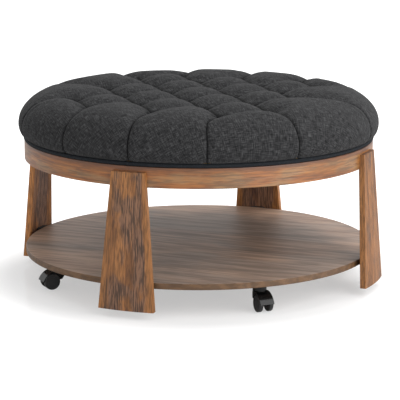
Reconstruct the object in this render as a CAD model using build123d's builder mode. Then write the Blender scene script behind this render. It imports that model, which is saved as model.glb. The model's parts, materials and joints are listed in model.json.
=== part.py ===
from build123d import *
import math
import os

os.makedirs("parts", exist_ok=True)

# Round ottoman table: a tufted cushion on a wooden apron, four bent legs, a shelf and four casters.
# Millimetres. The origin is on the floor under the middle, +Z is up, the legs stand on the X and Y axes.

# Heights, from the floor up
caster_height = 69.0
shelf_thickness = 15.0
storage_height = 223.0
apron_height = 48.0
leg_floor_gap = 19.5
leg_top_drop = 12.6

# Apron band, in four quarters
apron_outer_radius = 435.0
apron_thickness = 18.0
apron_joint_gap = 0.3
apron_edge_radius = 1.5

# Legs: bent panels, concentric with the apron and splayed
leg_thickness = 15.0
leg_top_stand_off = 10.6
leg_splay_degrees = 3.76
leg_top_width = 83.0
leg_foot_width = 139.0
leg_edge_radius = 2.0

# Shelf
shelf_overhang = 0.6
shelf_edge_radius = 2.0

# Seat board, welt and dust cover
seat_board_thickness = 18.0
welt_diameter = 11.0
welt_overhang = 2.0
dust_cover_thickness = 0.6
dust_cover_inset = 5.0

# Cushion outline
cushion_overhang = 13.5
cushion_base_inset = 1.0
cushion_widest_height = 39.5
cushion_crown_height = 131.0
cushion_shoulder_reach = 96.5
cushion_crest_drop = 5.0
cushion_crown_fall = 8.0

# Tufts, on a diamond grid, and the pleats from the outer tufts down to the rim
tuft_field_margin_x = 47.0
tuft_field_margin_y = 11.0
pillow_cap_height = 34.0
pillow_overlap = 0.5
tuft_dimple_radius = 15.0
tuft_dimple_depth = 12.0
tuft_floor_depth = 30.0
tuft_floor_inset = 50.0
bowl_rim_margin = 6.0
bowl_pleat_dig = 16.0
rim_pleat_depth = 7.0
crest_pleat_depth = 16.0
pleat_azimuths_degrees = (0, 37, 66, 90, 114, 143, 180, 217, 246, 270, 294, 323)

# Foam core
foam_inset = 27.7
foam_height = 57.0

# Cross rails and splice blocks under the seat board
rail_width = 40.0
rail_mortise_depth = 15.0
splice_block_width = 130.0
splice_block_depth = 32.0
wood_joint_gap = 0.2

# Leg bolts, washers and threaded inserts
leg_bolt_spacing = 58.0
leg_bolt_diameter = 6.0
leg_bolt_head_diameter = 12.0
leg_bolt_head_height = 4.0
leg_bolt_hole_gap = 0.3
washer_diameter = 16.0
washer_thickness = 1.5
insert_diameter = 10.0
insert_length = 9.0

# Seat screws, up through the rails
seat_screw_diameter = 5.0
seat_screw_head_diameter = 9.0
seat_screw_head_height = 3.0
seat_screw_bite = 13.0
seat_screw_counterbore_depth = 22.0
seat_screw_counterbore_gap = 1.0
seat_screw_inner_radius = 150.0
seat_screw_outer_inset = 87.0

# Shelf brackets, spacers and their screws
bracket_thickness = 2.5
bracket_width = 44.0
bracket_reach = 48.0
bracket_drop = 34.0
spacer_width = 38.0
spacer_gap = 0.2
bracket_screw_diameter = 4.0
bracket_screw_head_diameter = 7.5
bracket_screw_head_height = 2.2
bracket_screw_bite = 10.0
bracket_screw_spacing = 26.0
bracket_screw_lean = 0.6
bracket_shelf_screw_inset = 14.0
bracket_leg_screw_drop = 22.0

# Casters: each heading is measured from the outward direction at its corner
caster_inset = 60.6
caster_azimuths_degrees = (-46, 44, 134, 224)
caster_headings_degrees = (0.6, -9.0, 17.0, 3.0)
caster_names = ("front_right", "rear_right", "rear_left", "front_left")
caster_trail = 21.0
wheel_diameter = 40.0
wheel_width = 10.0
wheel_edge_radius = 2.0
wheel_hub_diameter = 24.0
wheel_rim_recess_diameter = 32.0
wheel_rim_recess = 0.8
wheel_side_gap = 0.4
wheel_hood_gap = 1.0
axle_diameter = 6.0
axle_bite = 7.0
axle_running_gap = 0.05
axle_press_gap = 0.02
caster_web_width = 15.2
hood_wall = 3.2
hood_crown_wall = 4.2
hood_brow_wall = 13.3
hood_brow_degrees = 132.0
hood_neck_diameter = 33.0
hood_neck_length = 34.0
hood_foot_length = 9.0
hood_foot_taper_degrees = 30.0
hood_neck_gap = 0.6
hood_skirt_height = 16.0
hood_front_degrees = 156.0
hood_back_degrees = 4.0
hood_edge_radius = 1.2
hood_boss_diameter = 16.0
pin_diameter = 8.0
pin_length = 24.0
pin_head_diameter = 11.8
pin_head_height = 1.2
pin_collar_diameter = 12.0
pin_collar_height = 2.5
pin_collar_gap = 0.5
pin_running_gap = 0.05
caster_plate_side = 44.0
caster_plate_thickness = 2.5
caster_plate_corner_radius = 4.0
caster_screw_spacing = 32.0
caster_screw_diameter = 4.0
caster_screw_head_diameter = 7.5
caster_screw_head_height = 2.2
caster_screw_bite = 11.0

# Fits and working room shared by the pieces
soft_gap = 0.3
thread_gap = 0.05
seat_gap = 0.1
overrun = 5.0

# Heights and radii that follow from the sizes above
shelf_bottom = caster_height
shelf_top = shelf_bottom + shelf_thickness
apron_bottom = shelf_top + storage_height
apron_top = apron_bottom + apron_height
apron_inner_radius = apron_outer_radius - apron_thickness
leg_bottom = leg_floor_gap
leg_top = apron_top - leg_top_drop
frame_top = apron_top - dust_cover_thickness
frame_bottom = apron_bottom
frame_height = frame_top - frame_bottom
splice_block_face = apron_inner_radius - splice_block_depth
board_top = apron_top + seat_board_thickness
welt_ring_radius = apron_outer_radius + welt_overhang - welt_diameter / 2
board_radius = welt_ring_radius - welt_diameter / 2 - soft_gap
foam_radius = board_radius - foam_inset
cushion_widest_radius = apron_outer_radius + cushion_overhang
cushion_base_radius = apron_outer_radius - cushion_base_inset
cushion_crest_radius = cushion_widest_radius - cushion_shoulder_reach
tuft_floor_radius = cushion_crest_radius - tuft_floor_inset
seat_screw_outer_radius = apron_inner_radius - seat_screw_outer_inset
shelf_radius = apron_outer_radius + shelf_overhang
caster_ring_radius = shelf_radius - caster_inset
leg_azimuths_degrees = (0, 90, 180, 270)
leg_names = ("right", "rear", "left", "front")


def polar(radius, azimuth):
    """The point at this radius and azimuth, in degrees from +X."""
    turn = math.radians(azimuth)
    return (radius * math.cos(turn), radius * math.sin(turn))


def radial_plane(azimuth, point=(0, 0)):
    """The upright plane through a point: x runs outwards at this azimuth, y runs up from the floor."""
    out_x, out_y = polar(1, azimuth)
    return Plane(origin=(point[0], point[1], 0), x_dir=(out_x, out_y, 0), z_dir=(out_y, -out_x, 0))


def facing_plane(azimuth, distance):
    """The upright plane square to this azimuth at a distance: x runs sideways, y runs up."""
    out_x, out_y = polar(1, azimuth)
    origin = (distance * out_x, distance * out_y, 0)
    return Plane(origin=origin, x_dir=(-out_y, out_x, 0), z_dir=(out_x, out_y, 0))


def level_plane(azimuth, height, point=(0, 0)):
    """The level plane at a height over a point: x runs along this azimuth."""
    out_x, out_y = polar(1, azimuth)
    return Plane(origin=(point[0], point[1], height), x_dir=(out_x, out_y, 0), z_dir=(0, 0, 1))


def leg_outer_radius(height):
    """Radius of the legs' outer face, which leans outwards towards the floor."""
    splay = (leg_top - height) * math.tan(math.radians(leg_splay_degrees))
    return apron_outer_radius + leg_top_stand_off + splay


def leg_inner_radius(height):
    """Radius of the legs' inner face."""
    return leg_outer_radius(height) - leg_thickness


def save(builder, name):
    """Label a finished piece and write it as one STEP file."""
    builder.part.label = name
    export_step(builder.part, f"parts/{name}.step")


# Seat board with pilot holes for the seat screws
seat_screw_spots = [
    polar(radius, azimuth)
    for azimuth in leg_azimuths_degrees
    for radius in (seat_screw_inner_radius, seat_screw_outer_radius)
]

with BuildPart() as seat_board:
    with BuildSketch(Plane.XY.offset(apron_top)):
        Circle(board_radius)
    extrude(amount=seat_board_thickness)
    with BuildSketch(Plane.XY.offset(apron_top)):
        with Locations(*seat_screw_spots):
            Circle(seat_screw_diameter / 2 + thread_gap)
    extrude(amount=seat_screw_bite, mode=Mode.SUBTRACT)
save(seat_board, "seat_board")

# Dust cover: thin cloth between the seat board and the frame
with BuildPart() as dust_cover:
    with BuildSketch(Plane.XY.offset(frame_top)):
        Circle(apron_inner_radius - dust_cover_inset)
        with Locations(*seat_screw_spots):
            Circle(seat_screw_diameter / 2 + soft_gap, mode=Mode.SUBTRACT)
    extrude(amount=dust_cover_thickness)
save(dust_cover, "dust_cover")

# Welt: piping around the seat board, on top of the apron
with BuildPart() as cushion_welt:
    with BuildSketch(radial_plane(0)):
        with Locations((welt_ring_radius, apron_top + welt_diameter / 2)):
            Circle(welt_diameter / 2)
    revolve(axis=Axis.Z)
save(cushion_welt, "cushion_welt")

# Foam core on the seat board
with BuildPart() as foam_core:
    with BuildSketch(Plane.XY.offset(board_top)):
        Circle(foam_radius)
    extrude(amount=foam_height)
save(foam_core, "foam_core")

# Cushion: pleated sides from stacked outlines, then pillows between the tufts
cushion_bottom = apron_top + welt_diameter + soft_gap
crown_top = apron_top + cushion_crown_height
crest_top = crown_top - cushion_crest_drop
shoulder_rise = crest_top - (apron_top + cushion_widest_height)
side_turn_shares = (0.0, 0.35, 0.68)
shoulder_turn_shares = (0.0, 0.22, 0.42, 0.6, 0.76, 0.9)


def pleated_outline(height, radius, pleat_depth):
    """A level face at a height, bounded by arcs that swell between the pleats."""
    turns = pleat_azimuths_degrees + (pleat_azimuths_degrees[0] + 360,)
    with BuildSketch(Plane.XY.offset(height)) as outline:
        with BuildLine():
            for start, end in zip(turns[:-1], turns[1:]):
                ThreePointArc(
                    polar(radius - pleat_depth, start),
                    polar(radius, (start + end) / 2),
                    polar(radius - pleat_depth, end),
                )
        make_face()
    return outline.sketch.face()


def crown_height(point):
    """Height of the pillows' tops over a point: highest in the middle."""
    share = math.hypot(*point) / apron_outer_radius
    return crown_top - cushion_crown_fall * share**2


side_height = apron_top + cushion_widest_height - cushion_bottom
side_swell = cushion_widest_radius - cushion_base_radius
outlines = [
    (
        cushion_bottom + side_height * (1 - math.cos(share * math.pi / 2)),
        cushion_base_radius + side_swell * math.sin(share * math.pi / 2),
        rim_pleat_depth,
    )
    for share in side_turn_shares
]
for share in shoulder_turn_shares:
    turn = share * math.pi / 2
    height = apron_top + cushion_widest_height + shoulder_rise * math.sin(turn)
    radius = cushion_crest_radius + cushion_shoulder_reach * math.cos(turn)
    outlines.append((height, radius, rim_pleat_depth + (crest_pleat_depth - rim_pleat_depth) * share))
outlines.append((crest_top, cushion_crest_radius, crest_pleat_depth))

# Bowl outlines, from the tufts' floor up to the crest: height share, radius share, pleats dug outwards
bowl_floor = crown_top - tuft_floor_depth
bowl_rise = crest_top - bowl_floor
bowl_reach = cushion_crest_radius + bowl_rim_margin - tuft_floor_radius
bowl_wall_shares = ((0.0, 0.0), (0.45, 0.24), (0.8, 0.56), (1.0, 1.0))
bowl_outlines = [
    (bowl_floor + bowl_rise * rise, tuft_floor_radius + bowl_reach * reach, -bowl_pleat_dig)
    for rise, reach in bowl_wall_shares
]

# Pillow middles and tufts, as steps on a diamond grid that reaches three steps out each way
steps_out = 3
tuft_half_pitch_x = (tuft_floor_radius - tuft_field_margin_x) / steps_out
tuft_half_pitch_y = (tuft_floor_radius - tuft_field_margin_y) / steps_out
pillow_cap_radius = tuft_half_pitch_y + pillow_overlap
pillow_steps = (
    (0, 0), (1, 1), (1, -1), (-1, 1), (-1, -1), (0, 2), (0, -2), (2, 0), (-2, 0),
    (2, 2), (2, -2), (-2, 2), (-2, -2),
    (1, 3), (-1, 3), (1, -3), (-1, -3), (3, 1), (3, -1), (-3, 1), (-3, -1),
)
tuft_steps = (
    (0, 3), (0, -3), (2, 3), (-2, 3), (2, -3), (-2, -3), (1, 2), (-1, 2), (1, -2), (-1, -2),
    (3, 2), (-3, 2), (3, -2), (-3, -2), (0, 1), (0, -1), (2, 1), (-2, 1), (2, -1), (-2, -1),
    (1, 0), (-1, 0), (3, 0), (-3, 0),
)


def grid_point(step):
    """The place of a step on the tuft grid."""
    return (step[0] * tuft_half_pitch_x, step[1] * tuft_half_pitch_y)


pillow_sphere = (pillow_cap_radius**2 + pillow_cap_height**2) / (2 * pillow_cap_height)


def pillow_drop(distance):
    """How far a pillow's round top has fallen at a distance from its middle."""
    return pillow_sphere - math.sqrt(pillow_sphere**2 - distance**2)


with BuildPart() as tufted_cushion:
    loft(sections=[pleated_outline(*outline) for outline in outlines], ruled=True)
    # The bowl inside the outer lobes, dug outwards along the pleats
    loft(sections=[pleated_outline(*outline) for outline in bowl_outlines], ruled=True, mode=Mode.SUBTRACT)
    # One round pillow over each diamond
    for step in pillow_steps:
        middle = grid_point(step)
        top = crown_height(middle)
        with BuildSketch(Plane(origin=(middle[0], middle[1], top), x_dir=(1, 0, 0), z_dir=(0, -1, 0))):
            with BuildLine():
                Line((0, 0), (0, -pillow_cap_height))
                Line((0, -pillow_cap_height), (pillow_cap_radius, -pillow_cap_height))
                ThreePointArc(
                    (pillow_cap_radius, -pillow_cap_height),
                    (pillow_cap_radius / 2, -pillow_drop(pillow_cap_radius / 2)),
                    (0, 0),
                )
            make_face()
        revolve(axis=Axis((middle[0], middle[1], 0), (0, 0, 1)))
    # Sewn tufts
    for step in tuft_steps:
        spot = grid_point(step)
        top = crown_height(spot) - pillow_drop(tuft_half_pitch_x) + tuft_dimple_depth / 2
        with BuildSketch(Plane(origin=(spot[0], spot[1], top), x_dir=(1, 0, 0), z_dir=(0, -1, 0))):
            with BuildLine():
                Polyline((0, 0), (0, -tuft_dimple_depth), (tuft_dimple_radius, 0), close=True)
            make_face()
        revolve(axis=Axis((spot[0], spot[1], 0), (0, 0, 1)), mode=Mode.SUBTRACT)
    # Pockets for the seat board and the foam core
    with BuildSketch(Plane.XY.offset(cushion_bottom - overrun)):
        Circle(board_radius + soft_gap)
    extrude(amount=board_top - cushion_bottom + overrun, mode=Mode.SUBTRACT)
    with BuildSketch(Plane.XY.offset(board_top)):
        Circle(foam_radius + soft_gap)
    extrude(amount=foam_height, mode=Mode.SUBTRACT)
save(tufted_cushion, "tufted_cushion")

# Apron: four bent quarters that meet behind the legs
apron_names = {45: "rear_right", 135: "rear_left", 225: "front_left", 315: "front_right"}
bolt_height = (frame_bottom + leg_top) / 2
bolt_spots = [(-leg_bolt_spacing / 2, bolt_height), (leg_bolt_spacing / 2, bolt_height)]
bolt_hole_radius = leg_bolt_diameter / 2 + leg_bolt_hole_gap

for middle, side in apron_names.items():
    with BuildPart() as apron_quarter:
        with BuildSketch(Plane.XY.offset(apron_bottom)):
            Circle(apron_outer_radius)
            Circle(apron_inner_radius, mode=Mode.SUBTRACT)
        extrude(amount=apron_height)
        outer_face = apron_quarter.faces().filter_by(GeomType.CYLINDER).sort_by(SortBy.AREA)[-1]
        fillet(outer_face.edges().filter_by(GeomType.CIRCLE), apron_edge_radius)
        # Keep the quarter between two upright faces, each half a joint gap off the leg's middle plane
        with BuildSketch(level_plane(middle - 45, apron_bottom - overrun)):
            with Locations((apron_joint_gap / 2, apron_joint_gap / 2)):
                Rectangle(apron_outer_radius + overrun, apron_outer_radius + overrun,
                          align=(Align.MIN, Align.MIN))
        extrude(amount=apron_height + 2 * overrun, mode=Mode.INTERSECT)
        for azimuth in (middle - 45, middle + 45):
            with BuildSketch(facing_plane(azimuth, apron_inner_radius / 2)):
                with Locations(*bolt_spots):
                    Circle(bolt_hole_radius)
            extrude(amount=apron_outer_radius, mode=Mode.SUBTRACT)
    save(apron_quarter, f"apron_{side}")

# Splice blocks: glued behind the apron joints, mortised for the rail ends, bored for the leg bolts
block_outer_radius = apron_inner_radius - seat_gap
mortise_floor = splice_block_face + rail_mortise_depth
for azimuth, side in zip(leg_azimuths_degrees, leg_names):
    with BuildPart() as splice_block:
        with BuildSketch(Plane.XY.offset(frame_bottom)):
            Circle(block_outer_radius)
        extrude(amount=frame_height)
        with BuildSketch(facing_plane(azimuth, splice_block_face)):
            with Locations((0, frame_bottom + frame_height / 2)):
                Rectangle(splice_block_width, frame_height + 2 * overrun)
        extrude(amount=apron_outer_radius, mode=Mode.INTERSECT)
        with BuildSketch(facing_plane(azimuth, splice_block_face - overrun)):
            with Locations((0, frame_bottom + frame_height / 2)):
                Rectangle(rail_width + 2 * wood_joint_gap, frame_height + 2 * overrun)
        extrude(amount=rail_mortise_depth + overrun, mode=Mode.SUBTRACT)
        with BuildSketch(facing_plane(azimuth, splice_block_face - overrun)):
            with Locations(*bolt_spots):
                Circle(bolt_hole_radius)
        extrude(amount=apron_outer_radius, mode=Mode.SUBTRACT)
    save(splice_block, f"splice_block_{side}")

# Cross rails: halved into each other in the middle, their ends in the blocks' mortises
rail_length = 2 * (mortise_floor - wood_joint_gap)
rail_middle = frame_bottom + frame_height / 2
for azimuth, name in ((0, "cross_rail_x"), (90, "cross_rail_y")):
    notch_bottom = rail_middle if azimuth == 0 else frame_bottom - overrun
    with BuildPart() as cross_rail:
        with BuildSketch(level_plane(azimuth, frame_bottom)):
            Rectangle(rail_length, rail_width)
        extrude(amount=frame_height)
        with BuildSketch(level_plane(azimuth, notch_bottom)):
            Rectangle(rail_width + 2 * wood_joint_gap, rail_width + 2 * overrun)
        extrude(amount=frame_height / 2 + overrun, mode=Mode.SUBTRACT)
        for radius in (seat_screw_inner_radius, seat_screw_outer_radius):
            for side in (azimuth, azimuth + 180):
                with BuildSketch(level_plane(azimuth, frame_bottom - overrun, polar(radius, side))):
                    Circle(seat_screw_head_diameter / 2 + seat_screw_counterbore_gap)
                extrude(amount=seat_screw_counterbore_depth + overrun, mode=Mode.SUBTRACT)
                with BuildSketch(level_plane(azimuth, frame_bottom, polar(radius, side))):
                    Circle(seat_screw_diameter / 2 + soft_gap)
                extrude(amount=frame_height, mode=Mode.SUBTRACT)
    save(cross_rail, name)

# Seat screws: heads in the rails' counterbores, points in the seat board
seat_screw_seat = frame_bottom + seat_screw_counterbore_depth
with BuildPart() as seat_screws:
    with BuildSketch(Plane.XY.offset(seat_screw_seat - seat_screw_head_height)):
        with Locations(*seat_screw_spots):
            Circle(seat_screw_head_diameter / 2)
    extrude(amount=seat_screw_head_height)
    with BuildSketch(Plane.XY.offset(seat_screw_seat)):
        with Locations(*seat_screw_spots):
            Circle(seat_screw_diameter / 2)
    extrude(amount=apron_top + seat_screw_bite - seat_gap - seat_screw_seat)
save(seat_screws, "seat_screws")

# Legs: a leaning shell, cut to a tapered panel, rebated over the apron
bracket_screw_height = shelf_bottom - bracket_leg_screw_drop
bracket_screw_hole = bracket_screw_diameter / 2 + thread_gap
leg_screw_spots = [
    (-bracket_screw_spacing / 2, bracket_screw_height),
    (bracket_screw_spacing / 2, bracket_screw_height),
]
insert_start = apron_outer_radius + seat_gap
for azimuth, side in zip(leg_azimuths_degrees, leg_names):
    with BuildPart() as leg:
        with BuildSketch(radial_plane(azimuth)):
            with BuildLine():
                Polyline(
                    (leg_outer_radius(leg_bottom), leg_bottom),
                    (leg_outer_radius(leg_top), leg_top),
                    (leg_inner_radius(leg_top), leg_top),
                    (leg_inner_radius(leg_bottom), leg_bottom),
                    close=True,
                )
            make_face()
        revolve(axis=Axis.Z)
        with BuildSketch(facing_plane(azimuth, apron_inner_radius / 2)):
            with BuildLine():
                Polyline(
                    (-leg_foot_width / 2, leg_bottom),
                    (leg_foot_width / 2, leg_bottom),
                    (leg_top_width / 2, leg_top),
                    (-leg_top_width / 2, leg_top),
                    close=True,
                )
            make_face()
        extrude(amount=apron_outer_radius, mode=Mode.INTERSECT)
        outer_face = leg.faces().filter_by(GeomType.CONE).sort_by(SortBy.AREA)[-1]
        fillet(outer_face.edges(), leg_edge_radius)
        with BuildSketch(Plane.XY.offset(apron_bottom)):
            Circle(insert_start)
        extrude(amount=apron_height, mode=Mode.SUBTRACT)
        with BuildSketch(facing_plane(azimuth, apron_inner_radius)):
            with Locations(*bolt_spots):
                Circle(insert_diameter / 2 + thread_gap)
        extrude(amount=insert_start + insert_length - apron_inner_radius, mode=Mode.SUBTRACT)
        with BuildSketch(facing_plane(azimuth, shelf_radius)):
            with Locations(*leg_screw_spots):
                Circle(bracket_screw_hole)
        extrude(
            amount=leg_inner_radius(bracket_screw_height) + bracket_screw_bite - shelf_radius,
            mode=Mode.SUBTRACT,
        )
    save(leg, f"leg_{side}")

# Leg bolts, washers and threaded inserts
bolt_head_seat = splice_block_face - washer_thickness
insert_end = insert_start + insert_length - seat_gap
with BuildPart() as leg_bolts:
    for azimuth in leg_azimuths_degrees:
        with BuildSketch(facing_plane(azimuth, bolt_head_seat - leg_bolt_head_height)):
            with Locations(*bolt_spots):
                Circle(leg_bolt_head_diameter / 2)
        extrude(amount=leg_bolt_head_height)
        with BuildSketch(facing_plane(azimuth, bolt_head_seat)):
            with Locations(*bolt_spots):
                Circle(leg_bolt_diameter / 2)
        extrude(amount=insert_end - bolt_head_seat)
save(leg_bolts, "leg_bolts")

with BuildPart() as leg_bolt_washers:
    for azimuth in leg_azimuths_degrees:
        with BuildSketch(facing_plane(azimuth, bolt_head_seat)):
            with Locations(*bolt_spots):
                Circle(washer_diameter / 2)
                Circle(bolt_hole_radius, mode=Mode.SUBTRACT)
        extrude(amount=washer_thickness)
save(leg_bolt_washers, "leg_bolt_washers")

with BuildPart() as leg_inserts:
    for azimuth in leg_azimuths_degrees:
        with BuildSketch(facing_plane(azimuth, insert_start)):
            with Locations(*bolt_spots):
                Circle(insert_diameter / 2)
                Circle(leg_bolt_diameter / 2 + thread_gap, mode=Mode.SUBTRACT)
        extrude(amount=insert_length - seat_gap)
save(leg_inserts, "leg_inserts")

# Shelf with pilot holes for the bracket and caster screws
bracket_inner_radius = shelf_radius + spacer_gap - bracket_reach
shelf_screw_radius = bracket_inner_radius + bracket_shelf_screw_inset
shelf_screw_spots = [
    (-bracket_screw_spacing / 2, shelf_screw_radius),
    (bracket_screw_spacing / 2, shelf_screw_radius),
]
with BuildPart() as shelf:
    with BuildSketch(Plane.XY.offset(shelf_bottom)):
        Circle(shelf_radius)
    extrude(amount=shelf_thickness)
    fillet(shelf.edges(), shelf_edge_radius)
    for azimuth in leg_azimuths_degrees:
        with BuildSketch(level_plane(azimuth - 90, shelf_bottom)):
            with Locations(*shelf_screw_spots):
                Circle(bracket_screw_hole)
        extrude(amount=bracket_screw_bite, mode=Mode.SUBTRACT)
    for azimuth in caster_azimuths_degrees:
        with BuildSketch(level_plane(azimuth, shelf_bottom, polar(caster_ring_radius, azimuth))):
            with GridLocations(caster_screw_spacing, caster_screw_spacing, 2, 2):
                Circle(caster_screw_diameter / 2 + thread_gap)
        extrude(amount=caster_screw_bite, mode=Mode.SUBTRACT)
save(shelf, "shelf")

# Shelf brackets: under the shelf, then down along the leg's inner face
plate_bottom = shelf_bottom - bracket_thickness
flange_bottom = shelf_bottom - bracket_drop
for azimuth, side in zip(leg_azimuths_degrees, leg_names):
    with BuildPart() as shelf_bracket:
        with BuildSketch(radial_plane(azimuth)):
            with BuildLine():
                Polyline(
                    (bracket_inner_radius, shelf_bottom),
                    (bracket_inner_radius, plate_bottom),
                    (leg_inner_radius(plate_bottom) - seat_gap - bracket_thickness, plate_bottom),
                    (leg_inner_radius(flange_bottom) - seat_gap - bracket_thickness, flange_bottom),
                    (leg_inner_radius(flange_bottom) - seat_gap, flange_bottom),
                    (leg_inner_radius(shelf_bottom) - seat_gap, shelf_bottom),
                    close=True,
                )
            make_face()
        revolve(axis=Axis.Z)
        with BuildSketch(facing_plane(azimuth, apron_inner_radius / 2)):
            with Locations((0, shelf_bottom)):
                Rectangle(bracket_width, 2 * (bracket_drop + overrun))
        extrude(amount=apron_outer_radius, mode=Mode.INTERSECT)
        with BuildSketch(level_plane(azimuth - 90, plate_bottom - overrun)):
            with Locations(*shelf_screw_spots):
                Circle(bracket_screw_hole)
        extrude(amount=bracket_thickness + 2 * overrun, mode=Mode.SUBTRACT)
        with BuildSketch(facing_plane(azimuth, shelf_radius)):
            with Locations(*leg_screw_spots):
                Circle(bracket_screw_hole)
        extrude(amount=apron_outer_radius, mode=Mode.SUBTRACT)
    save(shelf_bracket, f"shelf_bracket_{side}")

# Spacers: fill the gap between the shelf's edge and each leg, standing on the brackets
spacer_top = shelf_top - seat_gap
for azimuth, side in zip(leg_azimuths_degrees, leg_names):
    with BuildPart() as shelf_spacer:
        with BuildSketch(radial_plane(azimuth)):
            with BuildLine():
                Polyline(
                    (shelf_radius + spacer_gap, shelf_bottom),
                    (leg_inner_radius(shelf_bottom) - spacer_gap, shelf_bottom),
                    (leg_inner_radius(spacer_top) - spacer_gap, spacer_top),
                    (shelf_radius + spacer_gap, spacer_top),
                    close=True,
                )
            make_face()
        revolve(axis=Axis.Z)
        with BuildSketch(facing_plane(azimuth, apron_inner_radius / 2)):
            with Locations((0, shelf_bottom)):
                Rectangle(spacer_width, 2 * (shelf_thickness + overrun))
        extrude(amount=apron_outer_radius, mode=Mode.INTERSECT)
    save(shelf_spacer, f"shelf_spacer_{side}")

# Bracket screws: two up into the shelf and two outwards into the leg at each bracket
leg_flange_face = leg_inner_radius(bracket_screw_height) - seat_gap - bracket_thickness
leg_screw_seat = leg_flange_face - bracket_screw_lean
with BuildPart() as bracket_screws:
    for azimuth in leg_azimuths_degrees:
        with BuildSketch(level_plane(azimuth - 90, plate_bottom - bracket_screw_head_height)):
            with Locations(*shelf_screw_spots):
                Circle(bracket_screw_head_diameter / 2)
        extrude(amount=bracket_screw_head_height)
        with BuildSketch(level_plane(azimuth - 90, plate_bottom)):
            with Locations(*shelf_screw_spots):
                Circle(bracket_screw_diameter / 2)
        extrude(amount=bracket_thickness + bracket_screw_bite - seat_gap)
        with BuildSketch(facing_plane(azimuth, leg_screw_seat - bracket_screw_head_height)):
            with Locations(*leg_screw_spots):
                Circle(bracket_screw_head_diameter / 2)
        extrude(amount=bracket_screw_head_height)
        with BuildSketch(facing_plane(azimuth, leg_screw_seat)):
            with Locations(*leg_screw_spots):
                Circle(bracket_screw_diameter / 2)
        extrude(amount=bracket_thickness + bracket_screw_bite)
save(bracket_screws, "bracket_screws")

# Casters: plate and king pin are fixed, hood and axle swivel, the two wheels roll
wheel_radius = wheel_diameter / 2
wheel_start = caster_web_width / 2 + wheel_side_gap
hood_half_width = wheel_start + wheel_width
wheel_room_radius = wheel_radius + wheel_hood_gap
hood_top = caster_height - caster_plate_thickness - hood_neck_gap
hood_foot_top = hood_top - hood_neck_length
pin_bottom = caster_height - pin_length
axle_length = 2 * (caster_web_width / 2 + wheel_side_gap + axle_bite)


def hood_point(wall, angle):
    """A point of the hood, this wall outside the wheels' room, at this angle from the trailing side."""
    along, up = polar(wheel_room_radius + wall, angle)
    return (caster_trail + along, wheel_radius + up)


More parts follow.
